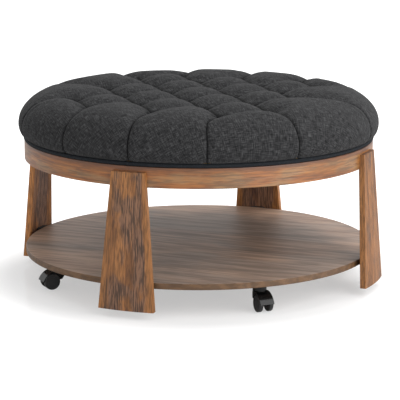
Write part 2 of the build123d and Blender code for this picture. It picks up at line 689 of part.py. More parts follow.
for azimuth, offset, corner in zip(caster_azimuths_degrees, caster_headings_degrees, caster_names):
    stem = polar(caster_ring_radius, azimuth)
    heading = azimuth + offset
    side_plane = radial_plane(heading, stem)

    with BuildPart() as caster_plate:
        with BuildSketch(level_plane(azimuth, caster_height - caster_plate_thickness, stem)):
            RectangleRounded(caster_plate_side, caster_plate_side, caster_plate_corner_radius)
            Circle(pin_diameter / 2 + thread_gap, mode=Mode.SUBTRACT)
            with GridLocations(caster_screw_spacing, caster_screw_spacing, 2, 2):
                Circle(caster_screw_diameter / 2 + thread_gap, mode=Mode.SUBTRACT)
        extrude(amount=caster_plate_thickness)
        with BuildSketch(level_plane(azimuth, caster_height - pin_head_height, stem)):
            Circle(pin_head_diameter / 2 + thread_gap)
        extrude(amount=pin_head_height, mode=Mode.SUBTRACT)
    save(caster_plate, f"caster_plate_{corner}")

    with BuildPart() as caster_pin:
        with BuildSketch(level_plane(azimuth, pin_bottom, stem)):
            Circle(pin_diameter / 2)
        extrude(amount=pin_length)
        with BuildSketch(level_plane(azimuth, caster_height - pin_head_height, stem)):
            Circle(pin_head_diameter / 2)
        extrude(amount=pin_head_height)
        with BuildSketch(level_plane(azimuth, pin_bottom, stem)):
            Circle(pin_collar_diameter / 2)
        extrude(amount=pin_collar_height)
    save(caster_pin, f"caster_pin_{corner}")

    with BuildPart() as caster_hood:
        with BuildSketch(side_plane):
            with BuildLine():
                ThreePointArc(
                    hood_point(hood_brow_wall, hood_brow_degrees),
                    hood_point(hood_crown_wall, 90),
                    hood_point(hood_wall, hood_back_degrees),
                )
                Polyline(
                    hood_point(hood_wall, hood_back_degrees),
                    (caster_trail + wheel_radius / 2, hood_skirt_height),
                    hood_point(hood_wall, hood_front_degrees),
                    hood_point(hood_brow_wall, hood_brow_degrees),
                )
            make_face()
        extrude(amount=hood_half_width, both=True)
        flanks = caster_hood.faces().filter_by(Axis(stem, side_plane.z_dir))
        fillet(flanks.edges().filter_by(GeomType.CIRCLE), hood_edge_radius)
        with BuildSketch(level_plane(heading, hood_top, stem)):
            Circle(hood_neck_diameter / 2)
        extrude(amount=-hood_neck_length)
        with BuildSketch(level_plane(heading, hood_foot_top, stem)):
            Circle(hood_neck_diameter / 2)
        extrude(amount=-hood_foot_length, taper=hood_foot_taper_degrees)
        for side in (1, -1):
            with BuildSketch(side_plane.offset(side * caster_web_width / 2)):
                with Locations((caster_trail, wheel_radius)):
                    Circle(wheel_room_radius)
            extrude(amount=side * (hood_half_width + overrun), mode=Mode.SUBTRACT)
        with BuildSketch(side_plane):
            with Locations((caster_trail, wheel_radius)):
                Circle(hood_boss_diameter / 2)
        extrude(amount=caster_web_width / 2, both=True)
        with BuildSketch(side_plane):
            with Locations((caster_trail, wheel_radius)):
                Circle(axle_diameter / 2 + axle_press_gap)
        extrude(amount=hood_half_width, both=True, mode=Mode.SUBTRACT)
        with BuildSketch(level_plane(heading, hood_top, stem)):
            Circle(pin_diameter / 2 + pin_running_gap)
        extrude(amount=-hood_neck_length - hood_foot_length, mode=Mode.SUBTRACT)
        with BuildSketch(level_plane(heading, pin_bottom + pin_collar_height + pin_collar_gap, stem)):
            Circle(pin_collar_diameter / 2 + pin_collar_gap)
        extrude(amount=-caster_height, mode=Mode.SUBTRACT)
    save(caster_hood, f"caster_hood_{corner}")

    with BuildPart() as caster_axle:
        with BuildSketch(side_plane):
            with Locations((caster_trail, wheel_radius)):
                Circle(axle_diameter / 2)
        extrude(amount=axle_length / 2, both=True)
    save(caster_axle, f"caster_axle_{corner}")

    for side, number in ((-1, 1), (1, 2)):
        with BuildPart() as caster_wheel:
            with BuildSketch(side_plane.offset(side * wheel_start)):
                with Locations((caster_trail, wheel_radius)):
                    Circle(wheel_radius)
            extrude(amount=side * wheel_width)
            fillet(caster_wheel.edges(), wheel_edge_radius)
            with BuildSketch(side_plane.offset(side * (wheel_start + wheel_width - wheel_rim_recess))):
                with Locations((caster_trail, wheel_radius)):
                    Circle(wheel_rim_recess_diameter / 2)
                    Circle(wheel_hub_diameter / 2, mode=Mode.SUBTRACT)
            extrude(amount=side * wheel_rim_recess, mode=Mode.SUBTRACT)
            with BuildSketch(side_plane.offset(side * wheel_start)):
                with Locations((caster_trail, wheel_radius)):
                    Circle(axle_diameter / 2 + axle_running_gap)
            extrude(amount=side * (axle_bite + wheel_side_gap), mode=Mode.SUBTRACT)
        save(caster_wheel, f"caster_wheel_{corner}_{number}")

with BuildPart() as caster_screws:
    for azimuth in caster_azimuths_degrees:
        stem = polar(caster_ring_radius, azimuth)
        head_top = caster_height - caster_plate_thickness
        with BuildSketch(level_plane(azimuth, head_top - caster_screw_head_height, stem)):
            with GridLocations(caster_screw_spacing, caster_screw_spacing, 2, 2):
                Circle(caster_screw_head_diameter / 2)
        extrude(amount=caster_screw_head_height)
        with BuildSketch(level_plane(azimuth, head_top, stem)):
            with GridLocations(caster_screw_spacing, caster_screw_spacing, 2, 2):
                Circle(caster_screw_diameter / 2)
        extrude(amount=caster_plate_thickness + caster_screw_bite - seat_gap)
save(caster_screws, "caster_screws")
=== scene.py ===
"""Looks of the round tufted ottoman table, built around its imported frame, in metres."""

import json
import logging
import math
from dataclasses import dataclass, field
from enum import Enum

import bmesh
import bpy
import numpy as np
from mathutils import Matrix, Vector

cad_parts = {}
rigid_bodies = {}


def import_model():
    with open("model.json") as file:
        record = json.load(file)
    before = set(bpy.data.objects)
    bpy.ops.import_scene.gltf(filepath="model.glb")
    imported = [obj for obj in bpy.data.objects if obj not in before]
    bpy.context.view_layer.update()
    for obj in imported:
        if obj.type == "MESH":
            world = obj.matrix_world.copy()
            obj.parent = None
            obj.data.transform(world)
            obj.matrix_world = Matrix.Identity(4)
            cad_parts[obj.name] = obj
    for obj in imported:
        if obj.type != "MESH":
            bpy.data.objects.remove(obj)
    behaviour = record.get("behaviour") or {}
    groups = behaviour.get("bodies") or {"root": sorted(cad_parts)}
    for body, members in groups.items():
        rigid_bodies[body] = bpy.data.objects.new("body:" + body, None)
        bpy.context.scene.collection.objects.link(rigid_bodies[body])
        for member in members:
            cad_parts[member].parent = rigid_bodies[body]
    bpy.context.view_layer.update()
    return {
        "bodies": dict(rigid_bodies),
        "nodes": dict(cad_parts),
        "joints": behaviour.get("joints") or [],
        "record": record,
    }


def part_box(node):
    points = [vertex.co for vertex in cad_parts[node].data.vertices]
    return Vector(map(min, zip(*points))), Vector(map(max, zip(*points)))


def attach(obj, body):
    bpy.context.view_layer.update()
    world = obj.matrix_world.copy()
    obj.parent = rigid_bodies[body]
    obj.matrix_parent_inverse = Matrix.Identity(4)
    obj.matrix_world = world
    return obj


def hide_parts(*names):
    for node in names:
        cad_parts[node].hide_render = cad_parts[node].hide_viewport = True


log = logging.getLogger("ottoman_table")

Colour = tuple[float, float, float, float]
Point = tuple[float, float, float]
Pair = tuple[float, float]
Socket = bpy.types.NodeSocket
Value = Socket | float | Colour


def colour(red: int, green: int, blue: int) -> Colour:
    """Turn an 8-bit display colour into a linear one.

    Args:
        red: Red, 0 to 255.
        green: Green, 0 to 255.
        blue: Blue, 0 to 255.

    Returns:
        The linear colour, with full alpha.
    """
    shares = [value / 255 for value in (red, green, blue)]
    linear = [s / 12.92 if s <= 0.04045 else ((s + 0.055) / 1.055) ** 2.4 for s in shares]
    return (*linear, 1.0)


def smooth_step(share: np.ndarray) -> np.ndarray:
    """Ease a share from 0 to 1, level at both ends."""
    held = np.clip(share, 0.0, 1.0)
    return held * held * (3.0 - 2.0 * held)


def feed(tree: bpy.types.NodeTree, value: Value, target: Socket) -> None:
    """Link a socket to a node's input, or set that input to a constant.

    Args:
        tree: The tree of both nodes.
        value: The socket or the constant.
        target: The input.
    """
    if isinstance(value, Socket):
        tree.links.new(value, target)
    else:
        target.default_value = value


def add_node(tree: bpy.types.NodeTree, kind: str, inputs: dict | None = None,
             **settings: str | bool) -> bpy.types.Node:
    """Add a node to a tree.

    Args:
        tree: The tree.
        kind: The node's type name.
        inputs: Input name or number to a socket, which is linked, or to a constant.
        settings: The node's own properties.

    Returns:
        The new node.
    """
    node = tree.nodes.new(kind)
    for name, value in settings.items():
        setattr(node, name, value)
    for name, value in (inputs or {}).items():
        feed(tree, value, node.inputs[name])
    return node


class Shader:
    """A material under construction: a Principled shader and the nodes that feed it."""

    def __init__(self, name: str) -> None:
        """Start a material that has only its Principled shader."""
        self.material = bpy.data.materials.new(name)
        self.material.use_nodes = True
        self.tree = self.material.node_tree
        self.surface = self.tree.nodes["Principled BSDF"]

    def node(self, kind: str, inputs: dict | None = None, **settings: str | bool) -> bpy.types.Node:
        """Add a node by its type name without its ShaderNode prefix, as add_node does."""
        return add_node(self.tree, "ShaderNode" + kind, inputs, **settings)

    def here(self, output: str = "Object") -> Socket:
        """Return the point of the piece being shaded, or another output of its coordinates."""
        return self.node("TexCoord").outputs[output]

    def parts(self, vector: Socket) -> list[Socket]:
        """Return the three parts of a vector."""
        return list(self.node("SeparateXYZ", {0: vector}).outputs)

    def math(self, operation: str, *values: Value) -> Socket:
        """Add a Math node on sockets or numbers and return its result."""
        return self.node("Math", dict(enumerate(values)), operation=operation).outputs[0]

    def mix(self, factor: Value, first: Value, second: Value, blend: str = "MIX") -> Socket:
        """Mix two colours by a factor and return the result."""
        inputs = {0: factor, 6: first, 7: second}
        return self.node("Mix", inputs, data_type="RGBA", blend_type=blend).outputs[2]

    def cover(self, shade: Value, amount: Value, share: float, over: Value) -> Socket:
        """Lay a share of an amount of another colour over a colour and return the result."""
        return self.mix(self.math("MULTIPLY", amount, share), shade, over)

    def lifted(self, shade: Value, lift: Value) -> Socket:
        """Multiply a colour by a number and return the result."""
        grey = self.node("CombineColor", {0: lift, 1: lift, 2: lift}).outputs[0]
        return self.mix(1.0, shade, grey, "MULTIPLY")

    def ramp(self, factor: Value, places: tuple[float, ...], shades: tuple[Colour, ...]) -> Socket:
        """Turn a factor into a colour through a ramp.

        Args:
            factor: The factor, 0 to 1.
            places: Where each colour stands on the ramp.
            shades: The colours.

        Returns:
            The colour.
        """
        node = self.node("ValToRGB", {0: factor})
        elements = node.color_ramp.elements
        while len(elements) < len(places):
            elements.new(0.5)
        for element, place, shade in zip(elements, places, shades):
            element.position = place
            element.color = shade
        return node.outputs[0]

    def between(self, value: Value, low: float, high: float, start: float = 0.0,
                end: float = 1.0) -> Socket:
        """Return start below low, end above high and an eased value between them."""
        inputs = {0: value, 1: low, 2: high, 3: start, 4: end}
        return self.node("MapRange", inputs, interpolation_type="SMOOTHSTEP").outputs[0]

    def noise(self, vector: Socket, size: Point, detail: float, rough: float = 0.5,
              warp: float = 0.0) -> Socket:
        """Add noise.

        Args:
            vector: Where the noise is read.
            size: How large its features are along each axis, in metres.
            detail: How many finer layers it has.
            rough: How strong these are.
            warp: How much it is bent.

        Returns:
            The noise, 0 to 1.
        """
        scaled = self.node("VectorMath", {0: vector, 1: [1 / s for s in size]}, operation="MULTIPLY")
        inputs = {"Vector": scaled.outputs[0], "Scale": 1.0, "Detail": detail, "Roughness": rough,
                  "Distortion": warp}
        return self.node("TexNoise", inputs).outputs[0]

    def grained(self, vector: Socket, pair: Pair, detail: float, rough: float = 0.5,
                warp: float = 0.0) -> Socket:
        """Return noise whose features have a length along the grain and one across it."""
        return self.noise(vector, (pair[0], pair[1], pair[1]), detail, rough, warp)

    def bump(self, height: Value, depth: float) -> Socket:
        """Return a normal bumped by a height of 0 to 1 over a depth in metres."""
        return self.node("Bump", {"Height": height, "Distance": depth}).outputs[0]

    def wire(self, **sockets: Value) -> None:
        """Link or set the surface's inputs, named with underscores for spaces."""
        for name, value in sockets.items():
            feed(self.tree, value, self.surface.inputs[name.replace("_", " ")])


class Grain(Enum):
    """Which way the fibres of a wooden piece run."""

    ALONG_X = "along x"
    UPRIGHT = "upright"
    AROUND = "around"


@dataclass(frozen=True)
class BrushedWood:
    """Stained wood, brushed so that its soft grain stands lower than its hard grain.

    Lengths come in pairs: along the grain, then across it. A range gives the noise at which
    something starts to show and at which it shows in full.
    """

    name: str
    grain: Grain
    dark: Colour
    warm: Colour
    light: Colour
    patch: Colour
    edge: Colour
    patch_range: Pair = (0.46, 0.60)
    patch_share: float = 0.85
    edge_cover: float = 0.85
    fibre: Pair = (0.050, 0.0032)
    streak: Pair = (0.300, 0.0160)
    streak_stops: Point = (0.30, 0.48, 0.66)
    blotch: Pair = (0.110, 0.0500)
    pore: Pair = (0.024, 0.0022)
    pore_range: Pair = (0.58, 0.68)
    pore_share: float = 0.45
    pore_depth: float = 0.6
    edge_pore_loss: float = 0.7
    fibre_range: Pair = (0.36, 0.62)
    fibre_swing: Pair = (-1.0, 0.5)
    fibre_shade: float = 0.25
    patch_fibre_shade: float = 0.45
    relief: float = 0.0009
    roughness: float = 0.55
    rough_rise: float = 0.08
    streak_polish: float = 0.15
    gloss: float = 0.5
    turn_degrees: float = 0.0
    ring_radius: float = 0.435
    seed: float = 0.0

    def place(self, shader: Shader) -> Socket:
        """Lay the grain out.

        Args:
            shader: The material under construction.

        Returns:
            The vector along the grain, across it and through the board.
        """
        turn = (0, 0, -math.radians(self.turn_degrees))
        turned = shader.node("Mapping", {"Vector": shader.here(), "Rotation": turn})
        x, y, z = shader.parts(turned.outputs[0])
        if self.grain is Grain.ALONG_X:
            parts = (x, y, z)
        elif self.grain is Grain.UPRIGHT:
            parts = (z, y, x)
        else:
            angle = shader.math("ARCTAN2", y, x)
            squares = shader.math("MULTIPLY", x, x), shader.math("MULTIPLY", y, y)
            radius = shader.math("SQRT", shader.math("ADD", *squares))
            parts = (shader.math("MULTIPLY", angle, self.ring_radius), z, radius)
        along = shader.math("ADD", parts[0], self.seed)
        return shader.node("CombineXYZ", {0: along, 1: parts[1], 2: parts[2]}).outputs[0]

    def edge_share(self, shader: Shader) -> Value:
        """Return how much of the edge colour shows; none on this plain wood."""
        return 0.0

    def make(self) -> bpy.types.Material:
        """Build the material.

        Returns:
            The material.
        """
        shader = Shader(self.name)
        where = self.place(shader)
        streaks = shader.grained(where, self.streak, 5.0, 0.6, 0.3)
        fibres = shader.grained(where, self.fibre, 2.5, 0.55)
        blotches = shader.grained(where, self.blotch, 4.0, 0.55, 0.5)
        pores = shader.between(shader.grained(where, self.pore, 2.0), *self.pore_range)
        edge = self.edge_share(shader)
        shade = shader.ramp(streaks, self.streak_stops, (self.dark, self.warm, self.light))
        patches = shader.between(blotches, *self.patch_range)
        patches = shader.math("MULTIPLY", patches, shader.math("SUBTRACT", 1.0, edge))
        shade = shader.cover(shade, patches, self.patch_share, self.patch)
        shade = shader.cover(shade, edge, self.edge_cover, self.edge)
        deeper = self.patch_fibre_shade - self.fibre_shade
        depth = shader.math("MULTIPLY_ADD", patches, deeper, self.fibre_shade)
        ends = dict(enumerate((*self.fibre_range, *self.fibre_swing), start=1))
        wave = shader.node("MapRange", {0: fibres, **ends}).outputs[0]
        shade = shader.lifted(shade, shader.math("MULTIPLY_ADD", wave, depth, 1.0))
        open_share = shader.math("MULTIPLY_ADD", edge, -self.edge_pore_loss, 1.0)
        pored = shader.math("MULTIPLY", pores, open_share)
        shade = shader.cover(shade, pored, self.pore_share, self.dark)
        height = shader.math("SUBTRACT", fibres, shader.math("MULTIPLY", pored, self.pore_depth))
        dullest = self.roughness + self.rough_rise
        rough = shader.math("MULTIPLY_ADD", streaks, -self.streak_polish, dullest)
        shader.wire(Base_Color=shade, Roughness=rough, Normal=shader.bump(height, self.relief),
                    Specular_IOR_Level=self.gloss)
        return shader.material


@dataclass(frozen=True)
class EdgedBoardWood(BrushedWood):
    """Wood of a level board whose edge band has another tone."""

    level_range: Pair = (0.98, 0.80)

    def edge_share(self, shader: Shader) -> Socket:
        """Return 1 on the board's upright edge and 0 on its faces."""
        up = shader.parts(shader.here("Normal"))[2]
        return shader.between(shader.math("ABSOLUTE", up), *self.level_range)


@dataclass(frozen=True)
class WornLegWood(BrushedWood):
    """Wood of a tapered leg, rubbed back to its warm colour along the long edges."""

    top_height: float = 0.3424
    foot_height: float = 0.0195
    top_half_width: float = 0.0415
    foot_half_width: float = 0.0695
    ragged: Pair = (0.09, 0.012)
    ragged_share: float = 0.5
    rubbed_range: Pair = (0.66, 0.88)

    def edge_share(self, shader: Shader) -> Socket:
        """Find how near a point is to the leg's long edges, broken up by the grain.

        Args:
            shader: The material under construction.

        Returns:
            0 in the leg's middle and 1 at its edges.
        """
        where = self.place(shader)
        up, across, _ = shader.parts(where)
        taper = (self.top_half_width - self.foot_half_width) / (self.top_height - self.foot_height)
        up = shader.math("SUBTRACT", up, self.foot_height + self.seed)
        half = shader.math("MULTIPLY_ADD", up, taper, self.foot_half_width)
        share = shader.math("DIVIDE", shader.math("ABSOLUTE", across), half)
        ragged = shader.grained(where, self.ragged, 3.0, 0.6)
        centred = shader.math("MULTIPLY_ADD", ragged, self.ragged_share, -self.ragged_share / 2)
        return shader.between(shader.math("ADD", share, centred), *self.rubbed_range)


@dataclass(frozen=True)
class RimShadedWood(BrushedWood):
    """Wood of a band whose upper rim is darkened by painted shade, where the cushion's overhang shades it.
    """

    rim_height: float = 0.355
    rim_shade_width: float = 0.015

    def edge_share(self, shader: Shader) -> Socket:
        """Return 1 at the band's upper rim, where the painted shade is full, fading to 0 below it."""
        up = shader.parts(shader.here())[2]
        return shader.between(up, self.rim_height - self.rim_shade_width, self.rim_height)


@dataclass(frozen=True)
class WovenCloth:
    """Plain-woven cloth with slubbed threads, laid out by the piece's own map.

    Painted shade darkens it beside its seams and round its tufts, by the distances that two attributes of
    the piece give.
    """

    name: str
    base: Colour
    light: Colour
    dark: Colour
    # The colour of the painted shade in the creases, pleats and tufts.
    seam: Colour
    thread_pitch: float = 0.0016
    thread_degrees: float = 50.0
    thread_stops: Point = (0.35, 0.50, 0.65)
    weave_shade: float = 0.10
    weave_height: float = 0.15
    slub_width: float = 0.0019
    slub_length: float = 0.018
    mottle_size: Point = (0.03, 0.03, 1.0)
    mottle_share: float = 0.10
    relief: float = 0.0005
    roughness: float = 0.95
    gloss: float = 0.12
    sheen: float = 0.03
    sheen_roughness: float = 0.5
    map_name: str = "cloth"
    seam_map: str = ""
    seam_shade_range: Pair = (0.0040, 0.0012)
    fold_shade_range: Pair = (0.0150, 0.0)
    fold_shade_share: float = 0.38
    tuft_map: str = ""
    tuft_shade_range: Pair = (0.034, 0.004)
    tuft_shade_share: float = 0.6

    def make(self) -> bpy.types.Material:
        """Build the material.

        Returns:
            The material.
        """
        shader = Shader(self.name)
        flat = shader.node("UVMap", uv_map=self.map_name).outputs[0]
        turn = (0, 0, math.radians(self.thread_degrees))
        flat = shader.node("Mapping", {"Vector": flat, "Rotation": turn}).outputs[0]
        wave = 2 * math.pi / self.thread_pitch
        warp, weft = (shader.math("SINE", shader.math("MULTIPLY", part, wave))
                      for part in shader.parts(flat)[:2])
        weave = shader.math("MULTIPLY", warp, weft)
        slub_warp = shader.noise(flat, (self.slub_width, self.slub_length, 1.0), 1.5)
        slub_weft = shader.noise(flat, (self.slub_length, self.slub_width, 1.0), 1.5)
        mottle = shader.noise(flat, self.mottle_size, 4.0, 0.6)
        threads = shader.math("MULTIPLY", shader.math("ADD", slub_warp, slub_weft), 0.5)
        drift = shader.math("MULTIPLY_ADD", mottle, self.mottle_share, -self.mottle_share / 2)
        threads = shader.math("ADD", threads, drift)
        shade = shader.ramp(threads, self.thread_stops, (self.dark, self.base, self.light))
        shade = shader.lifted(shade, shader.math("MULTIPLY_ADD", weave, self.weave_shade, 1.0))
        # Painted shade: a broad darkening beside each crease and pleat, and a near-black line along it.
        if self.seam_map:
            gap = shader.node("Attribute", attribute_name=self.seam_map).outputs["Fac"]
            fold_shade = shader.between(gap, *self.fold_shade_range)
            shade = shader.cover(shade, fold_shade, self.fold_shade_share, self.seam)
            shade = shader.mix(shader.between(gap, *self.seam_shade_range), shade, self.seam)
        # Painted shade: darkening round each tuft.
        if self.tuft_map:
            gap = shader.node("Attribute", attribute_name=self.tuft_map).outputs["Fac"]
            pit = shader.between(gap, *self.tuft_shade_range)
            shade = shader.cover(shade, pit, self.tuft_shade_share, self.seam)
        height = shader.math("MULTIPLY_ADD", weave, self.weave_height, threads)
        shader.wire(Base_Color=shade, Roughness=self.roughness,
                    Normal=shader.bump(height, self.relief), Sheen_Weight=self.sheen,
                    Sheen_Roughness=self.sheen_roughness, Specular_IOR_Level=self.gloss)
        return shader.material


@dataclass(frozen=True)
class Moulded:
    """Moulded plastic or rubber with a faint orange-peel skin and scuffs."""

    name: str
    base: Colour
    scuff: Colour
    roughness: float
    relief: float = 0.00006
    metallic: float = 0.0
    gloss: float = 0.5
    spot: Point = (0.009, 0.009, 0.004)
    skin: float = 0.0012
    wear_range: Pair = (0.50, 0.75)
    wear_roughness: float = 0.18

    def make(self) -> bpy.types.Material:
        """Build the material.

        Returns:
            The material.
        """
        shader = Shader(self.name)
        here = shader.here()
        skin = shader.noise(here, (self.skin,) * 3, 2.0)
        wear = shader.between(shader.noise(here, self.spot, 5.0, 0.7), *self.wear_range)
        shade = shader.mix(wear, self.base, self.scuff)
        rough = shader.math("MULTIPLY_ADD", wear, self.wear_roughness, self.roughness)
        shader.wire(Base_Color=shade, Roughness=rough, Normal=shader.bump(skin, self.relief),
                    Metallic=self.metallic, Specular_IOR_Level=self.gloss)
        return shader.material


@dataclass(frozen=True)
class OpenFoam:
    """Open-celled foam: pale, matt and finely pitted."""

    name: str
    base: Colour
    pit: Colour
    cell: float = 0.0016
    pit_range: Pair = (0.52, 0.38)
    roughness: float = 0.95

    def make(self) -> bpy.types.Material:
        """Build the material.

        Returns:
            The material.
        """
        shader = Shader(self.name)
        cells = shader.noise(shader.here(), (self.cell,) * 3, 2.0)
        shade = shader.mix(shader.between(cells, *self.pit_range), self.base, self.pit)
        shader.wire(Base_Color=shade, Roughness=self.roughness,
                    Normal=shader.bump(cells, self.cell / 2))
        return shader.material


@dataclass(frozen=True)
class LayeredBoard:
    """Plywood: pale faces with long grain and thin dark glue lines on its edge."""

    name: str
    face: Colour
    vein: Colour
    vein_size: Point = (0.25, 0.009, 0.05)
    vein_stops: Pair = (0.35, 0.60)
    ply: float = 0.0026
    glue_range: Pair = (0.85, 0.97)
    glue_share: float = 0.5
    relief: float = 0.0002
    roughness: float = 0.7

    def make(self) -> bpy.types.Material:
        """Build the material.

        Returns:
            The material.
        """
        shader = Shader(self.name)
        here = shader.here()
        veins = shader.noise(here, self.vein_size, 5.0, 0.6, 0.8)
        layer = shader.math("FRACT", shader.math("DIVIDE", shader.parts(here)[2], self.ply))
        shade = shader.ramp(veins, self.vein_stops, (self.vein, self.face))
        shade = shader.cover(shade, shader.between(layer, *self.glue_range), self.glue_share, self.vein)
        shader.wire(Base_Color=shade, Roughness=self.roughness, Normal=shader.bump(veins, self.relief))
        return shader.material


class Recipe:
    """A Geometry Nodes tree under construction, with named inputs for its sizes and its finish."""

    def __init__(self, name: str, sizes: tuple[str, ...]) -> None:
        """Start a tree whose inputs are a geometry, the named sizes and a finish.

        Args:
            name: The tree's name.
            sizes: The names of its sizes.
        """
        self.name = name
        self.tree = bpy.data.node_groups.new(name, "GeometryNodeTree")
        sockets = self.tree.interface
        sockets.new_socket("Geometry", in_out="OUTPUT", socket_type="NodeSocketGeometry")
        kinds = {"Geometry": "Geometry", **dict.fromkeys(sizes, "Float"), "Finish": "Material"}
        self.ids: dict[str, str] = {}
        for label, kind in kinds.items():
            socket = sockets.new_socket(label, in_out="INPUT", socket_type="NodeSocket" + kind)
            self.ids[label] = socket.identifier
        self.entry = self.tree.nodes.new("NodeGroupInput")

    def value(self, name: str) -> Socket:
        """Return the socket that carries a named input."""
        return self.entry.outputs[name]

    def node(self, kind: str, inputs: dict | None = None, **settings: str | bool) -> Socket:
        """Add a node by its type name, as add_node does, and return its first output."""
        return add_node(self.tree, kind, inputs, **settings).outputs[0]

    def close(self, geometry: Socket) -> None:
        """End the tree: smooth its geometry, realise its instances and set their material."""
        smooth = self.node("GeometryNodeSetShadeSmooth", {"Geometry": geometry})
        real = self.node("GeometryNodeRealizeInstances", {0: smooth})
        finish = self.node("GeometryNodeSetMaterial",
                           {"Geometry": real, "Material": self.value("Finish")})
        add_node(self.tree, "NodeGroupOutput", {0: finish})

    def make(self, piece: str, carrier: bpy.types.Mesh, values: dict) -> bpy.types.Object:
        """Run the tree on a carrier mesh and keep the result as a plain mesh.

        Args:
            piece: The new object's name.
            carrier: The mesh that the tree starts from.
            values: Input name to value.

        Returns:
            The finished object.
        """
        holder = link(bpy.data.objects.new(piece + "_carrier", carrier))
        modifier = holder.modifiers.new(self.name, "NODES")
        modifier.node_group = self.tree
        for name, value in values.items():
            modifier[self.ids[name]] = value
        bpy.context.view_layer.update()
        graph = bpy.context.evaluated_depsgraph_get()
        mesh = bpy.data.meshes.new_from_object(holder.evaluated_get(graph))
        bpy.data.objects.remove(holder)
        mesh.name = piece
        return link(bpy.data.objects.new(piece, mesh))


def link(piece: bpy.types.Object) -> bpy.types.Object:
    """Put an object into the scene and return it."""
    bpy.context.scene.collection.objects.link(piece)
    return piece


def mesh_from(name: str, points: np.ndarray, faces: list) -> bpy.types.Object:
    """Make a smooth mesh object from points and faces, with its normals outwards.

    Args:
        name: The object's name.
        points: The points, in metres.
        faces: Point numbers of each face.

    Returns:
        The new object.
    """
    mesh = bpy.data.meshes.new(name)
    mesh.from_pydata([tuple(p) for p in points], [], faces)
    work = bmesh.new()
    work.from_mesh(mesh)
    bmesh.ops.remove_doubles(work, verts=work.verts, dist=1e-6)
    bmesh.ops.recalc_face_normals(work, faces=work.faces)
    work.to_mesh(mesh)
    work.free()
    mesh.shade_smooth()
    return link(bpy.data.objects.new(name, mesh))


def loft(rings: list[np.ndarray]) -> tuple[np.ndarray, list]:
    """Join rings of equally many points, and close both ends with fans.

    Args:
        rings: The rings, each an array of points.

    Returns:
        The points and the faces.
    """
    count = len(rings[0])
    points = list(np.concatenate(rings))
    faces = []
    for ring_number in range(len(rings) - 1):
        low, high = ring_number * count, (ring_number + 1) * count
        for i in range(count):
            j = (i + 1) % count
            faces.append((low + i, low + j, high + j, high + i))
    for ring, start in ((rings[0], 0), (rings[-1], (len(rings) - 1) * count)):
        middle = len(points)
        points.append(ring.mean(axis=0))
        faces += [(start + i, start + (i + 1) % count, middle) for i in range(count)]
    return np.array(points), faces


def circle(radius: float, height: float, count: int) -> np.ndarray:
    """Return points on a level circle about the Z axis."""
    turn = np.arange(count) * 2 * math.pi / count
    return np.stack([radius * np.cos(turn), radius * np.sin(turn), np.full(count, height)], axis=1)


def read_points(mesh: bpy.types.Mesh) -> np.ndarray:
    """Read a mesh's points.

    Args:
        mesh: The mesh.

    Returns:
        An array with a row for each point.
    """
    flat = np.zeros(len(mesh.vertices) * 3, np.float32)
    mesh.vertices.foreach_get("co", flat)
    return flat.reshape(-1, 3).astype(float)


def store(mesh: bpy.types.Mesh, name: str, values: np.ndarray) -> None:
    """Give a mesh's points a named number each."""
    attribute = mesh.attributes.new(name, "FLOAT", "POINT")
    attribute.data.foreach_set("value", values.astype(np.float32))


def step_along(spots: np.ndarray, start: np.ndarray, end: np.ndarray) -> np.ndarray:
    """Find the nearest points of a straight line.

    Args:
        spots: The points to start from.
        start: The line's first point.
        end: The line's last point.

    Returns:
        For each of the spots, the step from the line's start to the nearest point on the line.
    """
    along = end - start
    share = np.clip((spots - start) @ along / (along @ along), 0.0, 1.0)
    return share[:, None] * along


def finish_piece(piece: bpy.types.Object, body: str, material: bpy.types.Material | None,
                 nodes: tuple[str, ...] = ()) -> bpy.types.Object:
    """Dress a piece, put it on its body and hide the nodes it stands for.

    Args:
        piece: The piece, in place.
        body: The body it rides on.
        material: Its finish, or None where it has one already.
        nodes: The nodes it replaces.

    Returns:
        The piece.
    """
    if material is not None:
        piece.data.materials.clear()
        piece.data.materials.append(material)
    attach(piece, body)
    if nodes:
        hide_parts(*nodes)
    log.info("%s: %d faces, rides on %s", piece.name, len(piece.data.polygons), body)
    return piece


def is_meant(name: str, wanted: tuple[str, ...]) -> bool:
    """Tell whether a name is wanted in full, or by a start that ends in an underscore."""
    return name in wanted or name.startswith(tuple(part for part in wanted if part.endswith("_")))


def dress(frame: dict, wanted: tuple[str, ...], material: bpy.types.Material) -> None:
    """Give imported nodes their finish.

    Args:
        frame: The loaded frame.
        wanted: The nodes' full names, or starts of names that end in an underscore.
        material: The finish.
    """
    for name, piece in frame["nodes"].items():
        if is_meant(name, wanted):
            if not piece.material_slots:
                piece.data.materials.append(material)
            for slot in piece.material_slots:
                slot.material = material
            log.info("%s: dressed in %s", name, material.name)


CLOTH_SETTINGS = {
    "quality": 6,
    "mass": 0.35,
    "tension_stiffness": 25,
    "compression_stiffness": 25,
    "shear_stiffness": 8,
    "bending_stiffness": 1.5,
    "shrink_min": -0.01,
    "vertex_group_mass": "held",
    "use_pressure": True,
    "uniform_pressure_force": 4,
}


